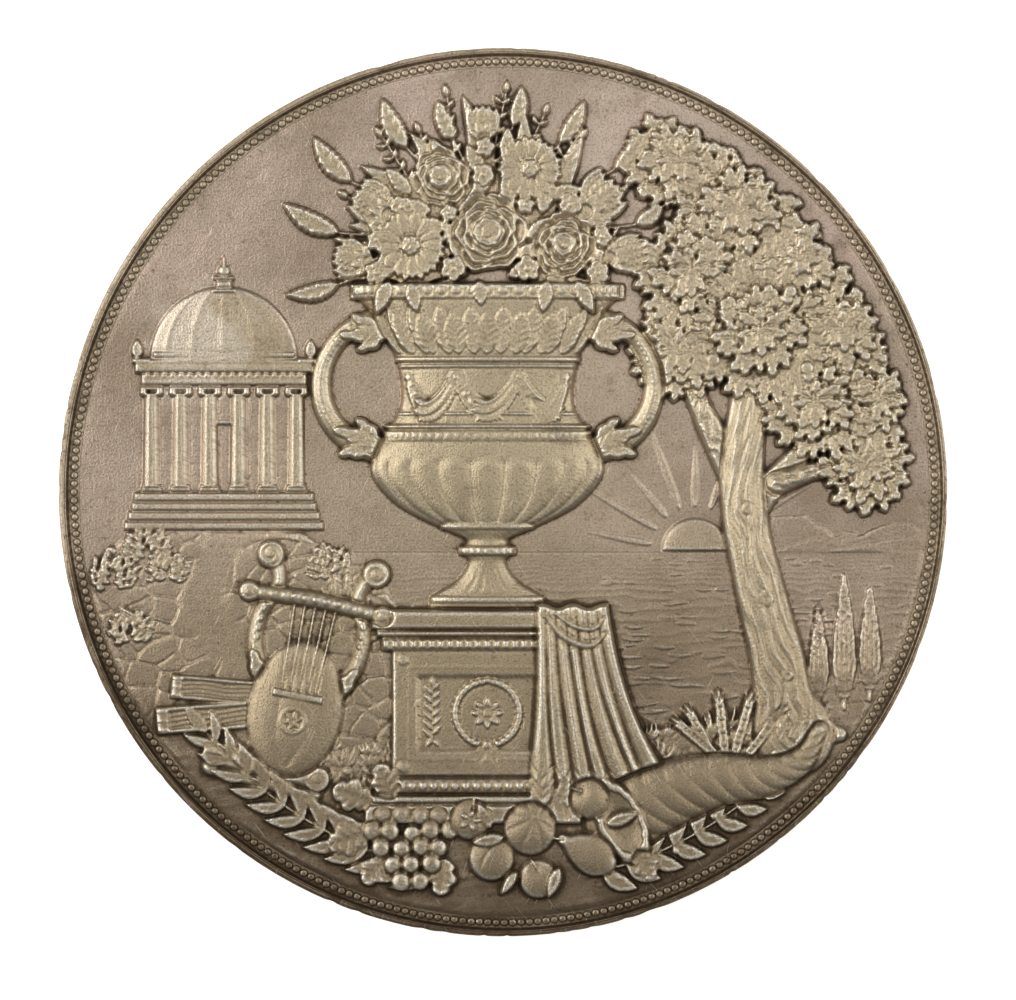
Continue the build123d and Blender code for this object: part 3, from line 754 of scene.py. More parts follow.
def garland(a, levels, widths, heights):
    """Swags of leaves and fruit hung between rosettes round the urn's waist."""
    pegs = [-62, -21, 21, 62]
    y_peg = 27.0

    def on_urn(angle, y):
        half = np.interp(y, levels, widths)
        height = np.interp(y, levels, heights)
        return a + half * sin(radians(angle)), height * cos(radians(angle)) ** 0.84

    for left, right in zip(pegs, pegs[1:]):
        for i in range(27):
            t = (i + 0.5) / 27
            angle = left + (right - left) * t
            y = y_peg - 7.2 * (1 - (2 * t - 1) ** 2)
            x, base = on_urn(angle, y)
            ahead, _ = on_urn(angle + 2, y)
            slope = degrees(atan2(-28.8 * (1 - 2 * t) / (right - left) * 2, ahead - x))
            size = 1.35 * (0.7 + 0.6 * sin(pi * t))
            for k in (-1, 1, 0):
                turn = slope + (180 if t > 0.5 else 0) + 38 * k
                leaf((x, y, turn, 2.6 * size, 1.25 * size), base + (2 if k == 0 else 0), rise=5, tilt=3)
            if i % 3 == 1:
                ball(x, y, 0.75 * size, 8, base + 3)
    for angle in pegs:
        x, base = on_urn(angle, y_peg)
        wide = cos(radians(angle)) ** 0.5
        for _, spot in ring(6, x, y_peg, 1.1 * wide):
            ball(*spot, 0.95 * wide, 6, base + 1)
        ball(x, y_peg, 0.8 * wide, 9, base + 1)


# Relief: flowers, leaves and fruit

# How far out each ring of a rose lies, how many petals it has, and how high it stands
rose_rings = [(1.0, 6, 0.0), (0.80, 5, 0.26), (0.62, 5, 0.48), (0.44, 4, 0.68), (0.29, 3, 0.86),
              (0.16, 2, 1.0)]


def rose(x, y, radius, base, height, turn):
    """A full rose. Its petals overlap inwards in uneven rings and close to a twisted bud."""
    draw = np.random.default_rng(int(abs(10 * x) + y))
    for k, (reach, count, share) in enumerate(rose_rings):
        for i in range(count):
            bearing = turn + 360 * (i + 0.45 * k) / count + draw.uniform(-9, 9)
            size = radius * (0.26 + 0.25 * reach) * draw.uniform(0.93, 1.10)
            spot = polar(x, y, max(radius * reach - size, 0.04 * radius), bearing)
            level = base + height * (0.42 + 0.58 * share) + 1.2 * (i % 2)
            petal(*spot, size, bearing, level, 0.30 * height * (0.55 + 0.45 * reach))
    for k in range(3):
        bearing = turn + 120 * k
        petal(*polar(x, y, 0.05 * radius, bearing), 0.10 * radius, bearing, base + 1.02 * height, 3)


def petal(x, y, size, bearing, height, roll):
    """A broad petal that dips behind its rolled outer edge, with faint folds along it."""
    place = window(x - size, x + size, y - size, y + size)
    u, v = local(place, x, y, bearing)
    around = np.arctan2(v, u)
    outline = size * (1 + 0.05 * np.cos(3 * around + x) + 0.04 * np.cos(7 * around + y))
    share = np.hypot(u, v * 0.96) / outline
    lip = bell(share - 0.90, 0.14) * fade((u / size + 0.35) / 0.7)
    dip = (1 - share) * fade((u / size + 0.6) / 1.2)
    folds = 0.05 * roll * np.cos(9 * around) * share
    lay(place, (1 - share) * size, height + roll * (0.55 * lip - 0.9 * dip) + folds, edge=0.5, cut=3.2)


def daisy(x, y, radius, base, height, turn):
    """A flat flower with narrow petals and a stippled boss."""
    for row in (0, 1):
        for i in range(13):
            bearing = turn + 360 * (i + 0.5 * row) / 13
            spot = polar(x, y, 0.18 * radius, bearing)
            blade = (*spot, bearing, radius * (0.84 - 0.06 * row), 0.34 * radius)
            leaf(blade, base + 0.55 * height + 3 * row, rise=6, tilt=4, sharp=1.5, cup=3)
    ball(x, y, 0.3 * radius, 0.28 * height, base + 0.62 * height)
    for i in range(16):
        spot = polar(x, y, 0.24 * radius * sqrt((i + 0.5) / 16), 137.5 * i)
        ball(*spot, 0.07 * radius, 3, base + 0.9 * height - 0.02 * i * height * 0.4, cut=2, edge=0.3)


def bud(x, y, radius, base, height, turn):
    """A half-open flower: ribbed petals that close over each other, in a green cup on a stem."""
    foot = polar(x, y, -1.0 * radius, turn)
    for spread in (-38, 38, -17, 17, 0):
        near = 1 - abs(spread) / 45
        row = (*foot, turn + spread * 0.62, 2.05 * radius, (0.72 + 0.14 * near) * radius)
        leaf(row, base + (0.42 + 0.13 * near) * height, rise=10, tilt=4, veins=4, bend=spread / 150, cut=4.5,
             cup=6, sharp=1.1)
    for spread in (-62, 62, -24, 24):
        leaf((*foot, turn + spread, 1.0 * radius, 0.5 * radius), base + 0.62 * height, rise=12, tilt=0, cut=4)
    ball(*foot, 0.36 * radius, 12, base + 0.45 * height, cut=4)


def posy(x, y, radius, base, turn):
    """A small open flower with round petals."""
    for bearing, spot in ring(5, x, y, 0.55 * radius, turn):
        petal(*spot, 0.47 * radius, bearing, base + 7, 6)
    ball(x, y, 0.26 * radius, 5, base + 6, cut=4, edge=0.4)


def sprig(x, y, turn, length, base):
    """A thin stem with small paired leaves and a bud at its tip."""
    tip = polar(x, y, length, turn)
    middle = polar(x, y, 0.5 * length, turn + 5)
    tube([(x, y, 0.55, base + 8), (*middle, 0.45, base + 7), (*tip, 0.35, base + 5)], count=10, edge=0.4)
    pairs = max(2, int(length / 3.4))
    for i in range(pairs):
        share = (i + 0.9) / (pairs + 0.6)
        spot = polar(x, y, share * length, turn + 5 * sin(pi * share))
        for side in (-1, 1):
            row = (*spot, turn + 47 * side, 3.8 - 1.2 * share, 1.9 - 0.5 * share)
            leaf(row, base, rise=6, tilt=3, bend=0.2 * side, edge=0.4)
    leaf((*tip, turn, 3.2, 1.9), base + 2, rise=7, tilt=2, edge=0.45)


def bouquet():
    """The flowers in the urn, over fans of leaves and sprigs."""
    toothed = dict(veins=3, cut=5)
    for i in range(19):
        bearing = 90 + 190 * (i / 18 - 0.5)
        reach = (31, 25, 34, 27)[i % 4] - 7 * abs(i - 9) / 9
        side = 1 if i % 2 else -1
        row = (*polar(urn_axis, 52, 9, bearing), bearing + 3 * side, reach, 6.6)
        leaf(row, 18 + 5 * (i % 2), rise=15, tilt=10, bend=0.16 * side, veins=5, cut=5)
    for bearing, reach in sprigs:
        sprig(*polar(urn_axis, 52, 12, bearing), bearing, reach, 30)
    for row in spray:
        side = 1 if row.x > urn_axis else -1
        root = Spot(urn_axis + 0.3 * (row.x - urn_axis), 54 + 0.3 * (row.y - 54))
        tip = polar(row.x, row.y, 2, row.turn)
        bow = polar(0.5 * (root.x + row.x), 0.5 * (root.y + row.y), 1.5, row.turn + 90 * side)
        stem = [(*root, 0.6, 36), (*bow, 0.5, 34), (row.x, row.y, 0.42, 33), (*tip, 0.35, 33)]
        tube(stem, count=16, cut=3.5, edge=0.4)
        leaf(row, 30, rise=11, tilt=7, bend=-0.12 * side, teeth=9, edge=0.9, cup=7, **toothed)
    for i in range(34):
        share, bearing = sqrt((i + 0.5) / 34), radians(137.5 * i)
        x, y = urn_axis + 27 * share * cos(bearing), 63 + 15 * share * sin(bearing)
        turn = degrees(atan2(y - 52, x - urn_axis)) + 40 * sin(5 * i)
        leaf((x, y, turn, 8.5, 4.6), 46 + 10 * (1 - share), rise=8, tilt=6, teeth=8, cup=5, **toothed)
    for row in buds:
        bud(row.x, row.y, row.radius, 14, row.height - 20, degrees(atan2(row.y - 48, row.x - urn_axis)))
    for x, y, radius in posies:
        posy(x, y, radius, 62 + 6 * (1 - abs(x - urn_axis) / 30), turn=31 * x)
    for i, row in enumerate(flowers):
        if i in (1, 4):
            daisy(row.x, row.y, 1.08 * row.radius, 10, row.height - 12, turn=11 * i)
        else:
            rose(row.x, row.y, row.radius, 12, row.height - 20, turn=25 * i)


def bark(share, across, half):
    """Long broken furrows that wind a little round the trunk."""
    wind = across * half * 2.4 + 4 * np.sin(8 * share) + 1.3 * np.sin(31 * share + 3 * across)
    plates = np.sin(wind) + 0.45 * np.sin(2.3 * wind + 9 * np.sin(14 * share))
    cracks = np.sin(95 * share + 14 * across + 5 * np.sin(3 * wind))
    return (3.9 * plates + 1.1 * cracks) * (1 - across**2)


def oak_cluster(x, y, base, size, turn, draw):
    """Leaves spread from one twig, the nearest of them whole."""
    for k, spread in enumerate((180, -128, 128, -78, 78, -34, 34, 2)):
        bearing = turn + spread + draw.uniform(-9, 9)
        length = size * (0.88 + 0.14 * (k % 3))
        start = polar(x, y, 0.10 * size, bearing)
        if hypot(*polar(*start, length, bearing)) <= 97.5:
            row = (*start, bearing, length, 0.60 * length)
            leaf(row, base + 1.5 * k, rise=4, tilt=7 - 0.5 * k, lobes=3.0, veins=3, cut=11, sharp=0.95,
                 bend=draw.uniform(-0.12, 0.12), edge=0.75, cup=6.5)
    ball(x, y, 0.16 * size, 4, base + 8, edge=0.4)


def oak():
    """Trunk and limbs with deep bark, then the crown in clusters of leaves over its masses."""
    for rows in (*limbs, *roots, trunk):
        tube(rows, count=44, cut=5, relief=bark, flat=0.45)
    for x, y, radius in knots:
        base = under(x, y)
        ball(x, y, radius, 5, base - 2, cut=4)
        ball(x, y, 0.5 * radius, -4, base + 2, cut=2)
    draw = np.random.default_rng(31)
    for x, y, radius, height in sorted(crown_masses, key=lambda row: row.height):
        rings = ((1.0, round(2.0 * pi * radius / 5.2)), (0.5, round(pi * radius / 5.0)), (0.0, 1))
        for reach, count in rings:
            for i in range(count):
                bearing = 360 * (i + draw.uniform(-0.15, 0.15)) / count + 70 * reach + 15
                spot = polar(x, y, reach * radius, bearing)
                if hypot(*spot) <= 95:
                    base = height * (0.38 + 0.42 * sqrt(max(1 - (0.93 * reach) ** 2, 0)))
                    oak_cluster(*spot, base, draw.uniform(4.9, 5.9), bearing if reach else -90, draw)
    for x, y, turn in acorns:
        base = under(x, y)
        ball(*polar(x, y, 1.9, turn), 1.45, 10, base + 1)
        ball(x, y, 1.75, 9, base + 3)
        for _, spot in ring(10, x, y, 1.0):
            ball(*spot, 0.4, 2, base + 9, cut=2, edge=0.2)


# Relief: the things on the ground

def block(x, y, half_length, half_width, height, turn, face=None):
    """A turned flat block. Face adds detail from the shares along and across it."""
    reach = hypot(half_length, half_width)
    place = window(x - reach, x + reach, y - reach, y + reach)
    u, v = local(place, x, y, turn)
    depth = np.minimum(half_length - np.abs(u), half_width - np.abs(v))
    surface = height + (face(u / half_length, v / half_width) if face else 0)
    lay(place, depth, surface + 0 * u, edge=0.5, cut=4)


def pages(u, v):
    """Covers above and below, page edges between them, and a rounded spine with bands."""
    cover = fade((np.abs(v) - 0.62) / 0.12)
    leaves = -10 + 3.0 * np.cos(2 * pi * (2.9 * v + 0.2 * np.sin(6 * u)))
    spine = fade((-0.70 - u) / 0.05)
    back = 4 - 7 * ((u + 0.85) / 0.15) ** 2 + 4 * np.abs(np.cos(1.5 * pi * v)) ** 14
    return spine * back + (1 - spine) * (1 - cover) * leaves


def books():
    """Two books and a rolled scroll."""
    for row in book_rows:
        block(*row, face=pages)
    tube([(-69, -64.5, 2.4, 48), (-45, -71, 2.4, 52)], count=8, cut=4)
    tube([(-68, -61.5, 3.1, 56), (-44, -67.5, 3.1, 58)], count=8, cut=4)
    for x, y in ((-68, -61.5), (-44, -67.5)):
        for radius in (3.1, 2.1, 1.1):
            ball(x, y, radius, 4, 52, cut=4)


def volute(x, y, radius, height, side):
    """A scroll seen from the front, with a round eye."""
    place, dx, dy = disc(x, y, radius)
    away = np.hypot(dx, dy)
    coil = np.cos(2 * pi * away / (0.46 * radius) - side * np.arctan2(dy, dx))
    surface = height + 2.6 * coil - 3 * (away / radius) ** 2
    surface = np.where(away < 0.26 * radius, height + 5 * cap(away / (0.26 * radius)), surface)
    lay(place, radius - away, surface, cut=4, edge=0.6)


def lyre():
    """A lyre: a ribbed shell with a rose, two arms that end in scrolls, a crossbar and strings."""
    def at(x, y):
        return polar(*lyre_place, hypot(x, y), degrees(atan2(y, x)) + lyre_lean)

    def placed(rows):
        return [(*at(row.x, row.y), row.half_width, row.height) for row in rows]

    def ribs(share, across, half):
        staves = np.abs(np.cos(4.5 * np.arcsin(np.clip(across, -1, 1)))) ** 0.5 - 0.7
        rim = bell(np.abs(across) - 0.86, 0.07)
        return 4.5 * staves + 3.5 * rim + 1.2 * np.cos(60 * share) * (np.abs(across) > 0.93)

    for side in (-1, 1):
        arm = placed([row._replace(x=side * row.x) for row in lyre_arm])
        tube(arm, cut=5, relief=lambda share, across, half: 3.2 * np.cos(1.6 * pi * across) * (1 - across**2))
        for i in range(6):
            ball(*at(side * (12.3 - 0.05 * i), -1 + 2.3 * i), 0.7, 4, 52, edge=0.35)
        volute(*at(side * 12.6, 23.5), 3.3, 58, side)
        row = (*at(side * 8, -8), 90 + lyre_lean - side * 28, 10, 4.2)
        leaf(row, 54, rise=9, tilt=2, lobes=2.5, veins=3, cut=4)
    tube(placed(lyre_box), cut=5, relief=ribs, flat=0.35)
    middle = at(0, -14)
    ball(*middle, 3.4, 4, 66, cut=4)
    ball(*middle, 2.5, -9, 66, cut=0, edge=0.5)
    for i in range(6):
        leaf((*middle, 60 * i + 10, 2.3, 1.3), 60, rise=6, tilt=0, cut=2, edge=0.3)
    strings = (-5, -2.5, 0, 2.5, 5)
    for x in strings:
        tube([(*at(0.8 * x, -7.5), 0.36, 64), (*at(x, 15), 0.36, 50)], count=3, cut=2.5, edge=0.3)
    tube(placed(lyre_bar), cut=5,
         relief=lambda share, across, half: 2.6 * np.cos(70 * share) * (1 - across**2))
    for x in strings:
        ball(*at(x, 14.9), 0.85, 5, 60, edge=0.35)
    for x in (-16, 16):
        ball(*at(x, 14), 2.5, 13, 48, cut=4)
        ball(*at(x, 14), 1.1, 4, 60)
    block(*at(0, -8.0), 6.0, 0.9, 70, lyre_lean)


def drapery():
    """A cloth over the plinth's right corner. Its folds spread and end in a zigzag hem with a fringe."""
    top, hem = -26.6, -72.5
    place = window(2, 50, hem - 6, top + 1)
    x, y = X[place], Y[place]
    down = np.clip((top - y) / (top - hem), 0, 1)
    phase, side = np.zeros_like(x), np.zeros_like(x)
    for i in range(x.shape[0]):
        g = float(down[i, 0])
        sway = [0.5 * sin(5 * g + 2.1 * k) * g for k in range(len(cloth_top))]
        edges = [a + (b - a) * (0.35 * g + 0.65 * g**2.2) + c for a, b, c in zip(cloth_top, cloth_foot, sway)]
        phase[i] = np.interp(x[i], edges, np.arange(len(edges)))
        side[i] = np.minimum(x[i] - edges[0], edges[-1] - x[i])
    fold = np.clip(np.floor(phase), 0, len(cloth_depth) - 1).astype(int)
    share = np.clip(phase - fold, 0, 1)
    lean, amount = np.array(cloth_lean)[fold], np.array(cloth_depth)[fold]
    ridge = np.sin(pi * share**lean) ** 0.7
    crease = 2.2 * np.sin(2 * pi * (2.0 * share + 0.9 * down + 0.37 * fold)) * ridge * down
    zigzag = 1.9 * (1 - 2 * np.abs(share - 0.5) * 2)
    lower = hem - zigzag - 0.35 * fold
    rolled = top + 0.5 * np.sin(2.1 * phase) - y
    surface = 92 - 13 * down - amount * (1 - ridge) * (0.35 + 0.65 * down**0.6) + crease
    for gap, width, deep in ((2.6, 0.35, 4), (4.2, 0.30, 3), (7.0, 0.35, 4)):
        surface = surface - deep * bell(y - lower - gap, width)
    studs = bell(y - lower - 5.6, 0.7) * np.clip(np.cos(2 * pi * (x - 0.2 * y) / 1.9), 0, 1)
    depth = np.minimum(side, np.minimum(y - lower, rolled))
    lay(place, depth, surface + 3.5 * studs, edge=1.0, cut=9, cut_width=0.9)
    draw = np.random.default_rng(17)
    for i in range(62):
        fx = cloth_foot[0] + (i + 0.5) / 62 * (cloth_foot[-1] - cloth_foot[0])
        k = min(int(np.interp(fx, cloth_foot, np.arange(len(cloth_foot)))), len(cloth_foot) - 2)
        part = (fx - cloth_foot[k]) / (cloth_foot[k + 1] - cloth_foot[k])
        fy = hem - 1.9 * (1 - 4 * abs(part - 0.5)) - 0.35 * k
        leaf((fx, fy + 0.6, -90 + draw.uniform(-9, 9), 4.0, 0.9), 58, rise=8, tilt=-2, cup=3, edge=0.35)
    for rows in cloth_swags:
        tube(rows, count=24, base=70, edge=1.2, flat=0.8)


def ear(x, y, turn, length, base):
    """An ear of wheat: paired grains with long beards."""
    for i in range(9):
        spot = polar(x, y, length * i / 9, turn)
        for side in (-1, 1):
            leaf((*spot, turn + 24 * side, 2.9, 1.25), base + 0.4 * i, rise=6, tilt=4)
            if i % 2:
                leaf((*spot, turn + 13 * side, 6.0, 0.5), base, rise=3, tilt=2, cut=1.5, edge=0.3)
    leaf((*polar(x, y, length, turn), turn, 3.2, 1.4), base + 4, rise=6, tilt=4)


def fruit_body(x, y, radius, height):
    """The round form that apples and peaches start from."""
    ball(x, y, radius, 0.55 * height, 0.45 * height, cut=6, edge=0.9)


def apple(x, y, radius, height, turn):
    """An apple with the dip and the stalk at its top."""
    fruit_body(x, y, radius, height)
    dip = polar(x, y, 0.52 * radius, turn)
    place, _, _ = disc(x, y, radius)
    H[place] -= 9 * bell(np.hypot(X[place] - dip.x, Y[place] - dip.y), 0.34 * radius)
    tip = polar(*dip, 0.5 * radius, turn + 20)
    tube([(*dip, 0.45, 0.9 * height), (*tip, 0.4, 0.94 * height)], count=4, cut=2, edge=0.3)


def pear(x, y, length, radius, height, turn):
    """A pear: round below, narrow towards its stalk."""
    rows = [(0.0, 0.75), (0.22, 1.0), (0.55, 0.74), (0.82, 0.42), (1.0, 0.30)]
    line = [(*polar(x, y, share * length, turn), wide * radius, height * (0.80 + 0.20 * wide))
            for share, wide in rows]
    tube(line, count=24, base=0.45 * height, cut=6, edge=0.9)
    stalk = polar(x, y, length * 1.02, turn)
    tip = polar(*stalk, 0.4 * radius, turn + 25)
    tube([(*stalk, 0.5, 0.86 * height), (*tip, 0.42, 0.88 * height)], count=4, edge=0.3)


def melon(x, y, radius, height, turn):
    """A ribbed melon seen a little from above."""
    place = window(x - radius, x + radius, y - radius, y + radius)
    u, v = local(place, x, y, turn)
    away = np.hypot(u, v) / radius
    around = np.arctan2(v, u - 0.45 * radius)
    ribs = 5.5 * (np.abs(np.cos(4.5 * around)) ** 0.5 - 0.7)
    ribs = ribs * fade(np.hypot(u - 0.45 * radius, v) / (0.5 * radius))
    lay(place, (1 - away) * radius, 0.42 * height + 0.58 * height * cap(away) + ribs, edge=0.9, cut=6)
    ball(*polar(x, y, 0.45 * radius, turn), 0.13 * radius, 4, 0.92 * height, cut=4, edge=0.4)


def peach(x, y, radius, height, turn):
    """A peach with its crease."""
    fruit_body(x, y, radius, height)
    place = window(x - radius, x + radius, y - radius, y + radius)
    u, v = local(place, x, y, turn)
    share = np.clip(u / radius, -1, 1)
    crease = bell(v - 0.28 * radius * (1 - share**2), 0.35) * fade((share + 0.7) / 0.5)
    H[place] -= 6 * crease * (np.hypot(u, v) < 0.94 * radius)


def grapes():
    """A bunch that hangs in uneven rows, with gaps between the berries."""
    draw = np.random.default_rng(23)
    for i, count in enumerate(berry_rows):
        for j in range(count):
            x = berry.x + 1.80 * berry.radius * (j - (count - 1) / 2) + draw.uniform(-0.4, 0.4)
            y = berry.y - 1.5 * berry.radius * i + draw.uniform(-0.5, 0.5)
            top = berry.height - 6 * (abs(j - (count - 1) / 2) > 1.2) - draw.uniform(0, 6)
            ball(x, y, berry.radius * draw.uniform(0.92, 1.03), 26, top - 26, cut=6, edge=0.7)
            ball(x + 0.2, y - 0.5, 0.3, 2, top - 1, cut=2, edge=0.2)


def horn_of_plenty():
    """The horn, in twisted flutes, with a scalloped mouth that gapes to the left."""
    def flutes(share, across, half):
        twist = share * 13 + 0.55 * cap(across) + 0.85 * across
        rounds = 10 * (np.abs(np.sin(pi * twist)) ** 0.5 - 0.7)
        return (rounds + 0.8 * np.cos(16 * pi * twist)) * (1 - 0.6 * share)

    tube(horn, count=60, cut=6, relief=flutes, flat=0.45)
    x, y, turn, wide, high = 27.4, -77.4, 206, 10.6, 5.4
    place = window(x - 14, x + 14, y - 14, y + 14)
    u, v = local(place, x, y, turn)
    scallops = 1 + 0.045 * np.abs(np.cos(7 * np.arctan2(v / wide, u / high)))
    away = np.hypot(v / wide, u / high) / scallops
    roll = 5 * np.cos(pi * (away - 0.86) / 0.28) * (away > 0.7)
    lip = 80 + roll - 14 * np.abs(u / high) ** 2 * (away > 0.7)
    inner = 46 + 20 * fade(away / 0.8) ** 2
    lay(place, (1 - away) * 7, np.where(away > 0.72, lip, inner), edge=0.9, cut=7)


def harvest():
    """A horn of plenty that spills fruit, grapes and wheat before the plinth."""
    for x, y, turn, length in wheat:
        ear(x, y, turn, length, 38)
    horn_of_plenty()
    for x, y, turn, length in vine_leaves:
        row = (x, y, turn, length, 0.86 * length)
        leaf(row, 34, rise=10, tilt=8, lobes=2.5, veins=3, cut=5, sharp=1.0, edge=1.2, cup=8)
    grapes()
    apple(*fruit[0], turn=100)
    peach(*fruit[1], turn=60)
    apple(*fruit[2], turn=140)
    pear(23, -86.5, 10.5, 5.0, 70, 152)
    apple(*fruit[3], turn=70)
    for bearing, spot in ring(5, fruit[3].x, fruit[3].y, 0.8):
        leaf((*spot, bearing, 1.9, 1.1), 74, rise=6, tilt=3, edge=0.3)
    melon(*fruit[5], turn=65)
    for x, y, turn, length in harvest_leaves:
        row = (x, y, turn, length, 0.48 * length)
        leaf(row, 60, rise=6, tilt=4, veins=3, cut=5, teeth=8, edge=0.9, cup=7)


def branch(radius, start, stop, pairs, length, width, opening, berries):
    """A stem along the border with pairs of leaves. Berries sit at the joints."""
    arc = stop - start
    ahead = 90 if arc > 0 else -90
    tube([(*polar(0, 0, radius, start + arc * i / 5), 0.75 - 0.08 * i, 43) for i in range(6)])
    for i in range(pairs):
        bearing = start + arc * (i + 0.4) / pairs
        size = 1 - 0.35 * i / pairs
        for side in (-1, 1):
            turn = bearing + ahead + side * opening
            row = (*polar(0, 0, radius, bearing), turn, length * size, width * size)
            leaf(row, 29 + 0.2 * i, rise=11, tilt=7, bend=0.14 * side, veins=2, cut=4)
        if berries and i % 2:
            ball(*polar(0, 0, radius - 1.4 * (-1) ** (i // 2), bearing), 1.0, 10, 40, cut=4)
    leaf((*polar(0, 0, radius, stop), stop + ahead, length * 0.7, width * 0.8), 31, rise=10, tilt=4, cut=4)


def relief():
    """The whole design, from what lies farthest to what lies nearest."""
    for motif in (sky, sunrise, far_shore, sea, hill, temple, ground):
        motif()
    for row in cypresses:
        cypress(*row)
    for motif in (oak, plinth, books, lyre, bouquet, urn, drapery):
        motif()
    branch(90, -99, -141, 12, 12, 4.2, 32, berries=False)
    branch(92, -77, -44, 9, 9.5, 4.6, 40, berries=True)
    harvest()


relief()
H = blurred(H, 0.18)
H += 0.55 * rough(811, 2.6, octaves=3)
shift = fade(0.5 + 2.5 * noise(812, 13))
strokes = [rough(seed, 0.9, 5, turn, octaves=2) for seed, turn in ((813, 38), (814, -52))]
H += 0.32 * (shift * strokes[0] + (1 - shift) * strokes[1]) * fade((H - 8) / 14)
H *= fade((100 - outward) / 1.6) ** 0.5
slope_y, slope_x = np.gradient(H * lift / unit, step)

# For the finish: how hollow each place is, and how much it stands out as a fine crest
cavity = 0.75 * (H - blurred(H, 0.4)) + (0.25 + 0.25 * fade((H - 38) / 22)) * (H - blurred(H, 1.1))
cavity += 0.16 * np.minimum(H - blurred(H, 2.6), 6) * fade((-Y - 40) / 22)
cavity -= (2.4 + 2.4 * rough(821, 5, octaves=3)) * fade((outward - 93) / 6)
crest = blurred(H, 0.2) - blurred(H, 0.6)


# Meshes: every second point of the board is a vertex

close_x, close_y = X[::2, ::2].ravel(), Y[::2, ::2].ravel()


def new_piece(name, vertices, faces, material, cavity, crest, rise):
    """A mesh piece that rides with the medal and stands for its solid. The finish reads the last three."""
    mesh = bpy.data.meshes.new(name)
    mesh.from_pydata(vertices, [], faces)
    mesh.materials.append(material)
    mesh.polygons.foreach_set("use_smooth", [True] * len(mesh.polygons))
    for title, values in (("cavity", cavity), ("crest", crest), ("rise", rise)):
        layer = mesh.attributes.new(title, "FLOAT", "POINT")
        layer.data.foreach_set("value", np.array(values, dtype=np.float32))
    piece = bpy.data.objects.new(name, mesh)
    bpy.context.collection.objects.link(piece)
    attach(piece, "root")
    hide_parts("medal")
    return piece


def dish(x, y):
    """Height of the dished field at a place given in millimetres from the middle of the die."""
    return datum + dish_ball - np.sqrt(dish_ball**2 - x**2 - y**2)


def relief_piece(name, chosen, material):
    """One part of the relief: the quads of the board that are chosen, closed below.

    Every vertex keeps the board's own slope as its normal, so that fine edges shade cleanly."""
    count = mesh_count
    corner = (np.arange(count - 1)[:, None] * count + np.arange(count - 1)[None, :]).ravel()
    quads = np.stack([corner, corner + 1, corner + count + 1, corner + count], axis=1)
    inside = (np.hypot(close_x, close_y) <= 100)[quads].any(1)
    ours = chosen(close_x[quads].mean(1), close_y[quads].mean(1))
    used, faces = np.unique(quads[inside & ours], return_inverse=True)
    faces = faces.reshape(-1, 4)

    def at(values):
        return values[::2, ::2].ravel()[used]

    px, py = close_x[used].astype(float), close_y[used].astype(float)
    pull = 100 / np.maximum(np.hypot(px, py), 100)
    px, py = px * pull * unit, py * pull * unit
    top = np.stack([px + die_shift, py, dish(px, py) + at(H) * lift], axis=1) / 1000
    flat = 1 / np.sqrt(dish_ball**2 - px**2 - py**2)
    normals = np.stack([-at(slope_x) - px * flat, -at(slope_y) - py * flat, np.ones(len(used))], axis=1)
    normals /= np.linalg.norm(normals, axis=1, keepdims=True)

    # The rim of this part: edges that only one quad uses, in order around it
    sides = np.concatenate([faces[:, [k, (k + 1) % 4]] for k in range(4)])
    keys = sides[:, 0].astype(np.int64) * len(used) + sides[:, 1]
    back = sides[:, 1].astype(np.int64) * len(used) + sides[:, 0]
    border = sides[~np.isin(keys, back)]
    after = dict(border.tolist())
    rim = [int(border[0, 0])]
    while after[rim[-1]] != rim[0]:
        rim.append(after[rim[-1]])

    low = top[rim].copy()
    low[:, 2] = relief_floor / 1000
    first, around = len(used), len(rim)
    walls = [(rim[(k + 1) % around], rim[k], first + k, first + (k + 1) % around) for k in range(around)]
    bottom = tuple(range(first, first + around))[::-1]
    values = [np.concatenate([at(board), np.full(around, -10.0)]) for board in (cavity, crest, H)]
    vertices = np.concatenate([top, low]).tolist()
    piece = new_piece(name, vertices, faces.tolist() + walls + [bottom], material, *values)
    wall_normals = np.tile((0.0, 0.0, -1.0), (around, 1))
    piece.data.normals_split_custom_set_from_vertices(np.concatenate([normals, wall_normals]).tolist())
    chart(piece.data, len(faces))


def chart(mesh, top_count):
    """A map for the finish: the face seen from above fills it, and hidden faces share one corner."""
    layer = mesh.uv_layers.new(name="OFBake")
    spots = np.zeros(len(mesh.vertices) * 3, dtype=np.float32)
    mesh.vertices.foreach_get("co", spots)
    spots = spots.reshape(-1, 3)[:, :2]
    low, high = spots.min(0), spots.max(0)
    spots = 0.02 + 0.97 * (spots - low) / (high - low).max()
    corners = np.zeros(len(mesh.loops), dtype=np.int32)
    mesh.loops.foreach_get("vertex_index", corners)
    values = spots[corners]
    values[4 * top_count:] *= 0.015
    layer.data.foreach_set("uv", values.ravel())


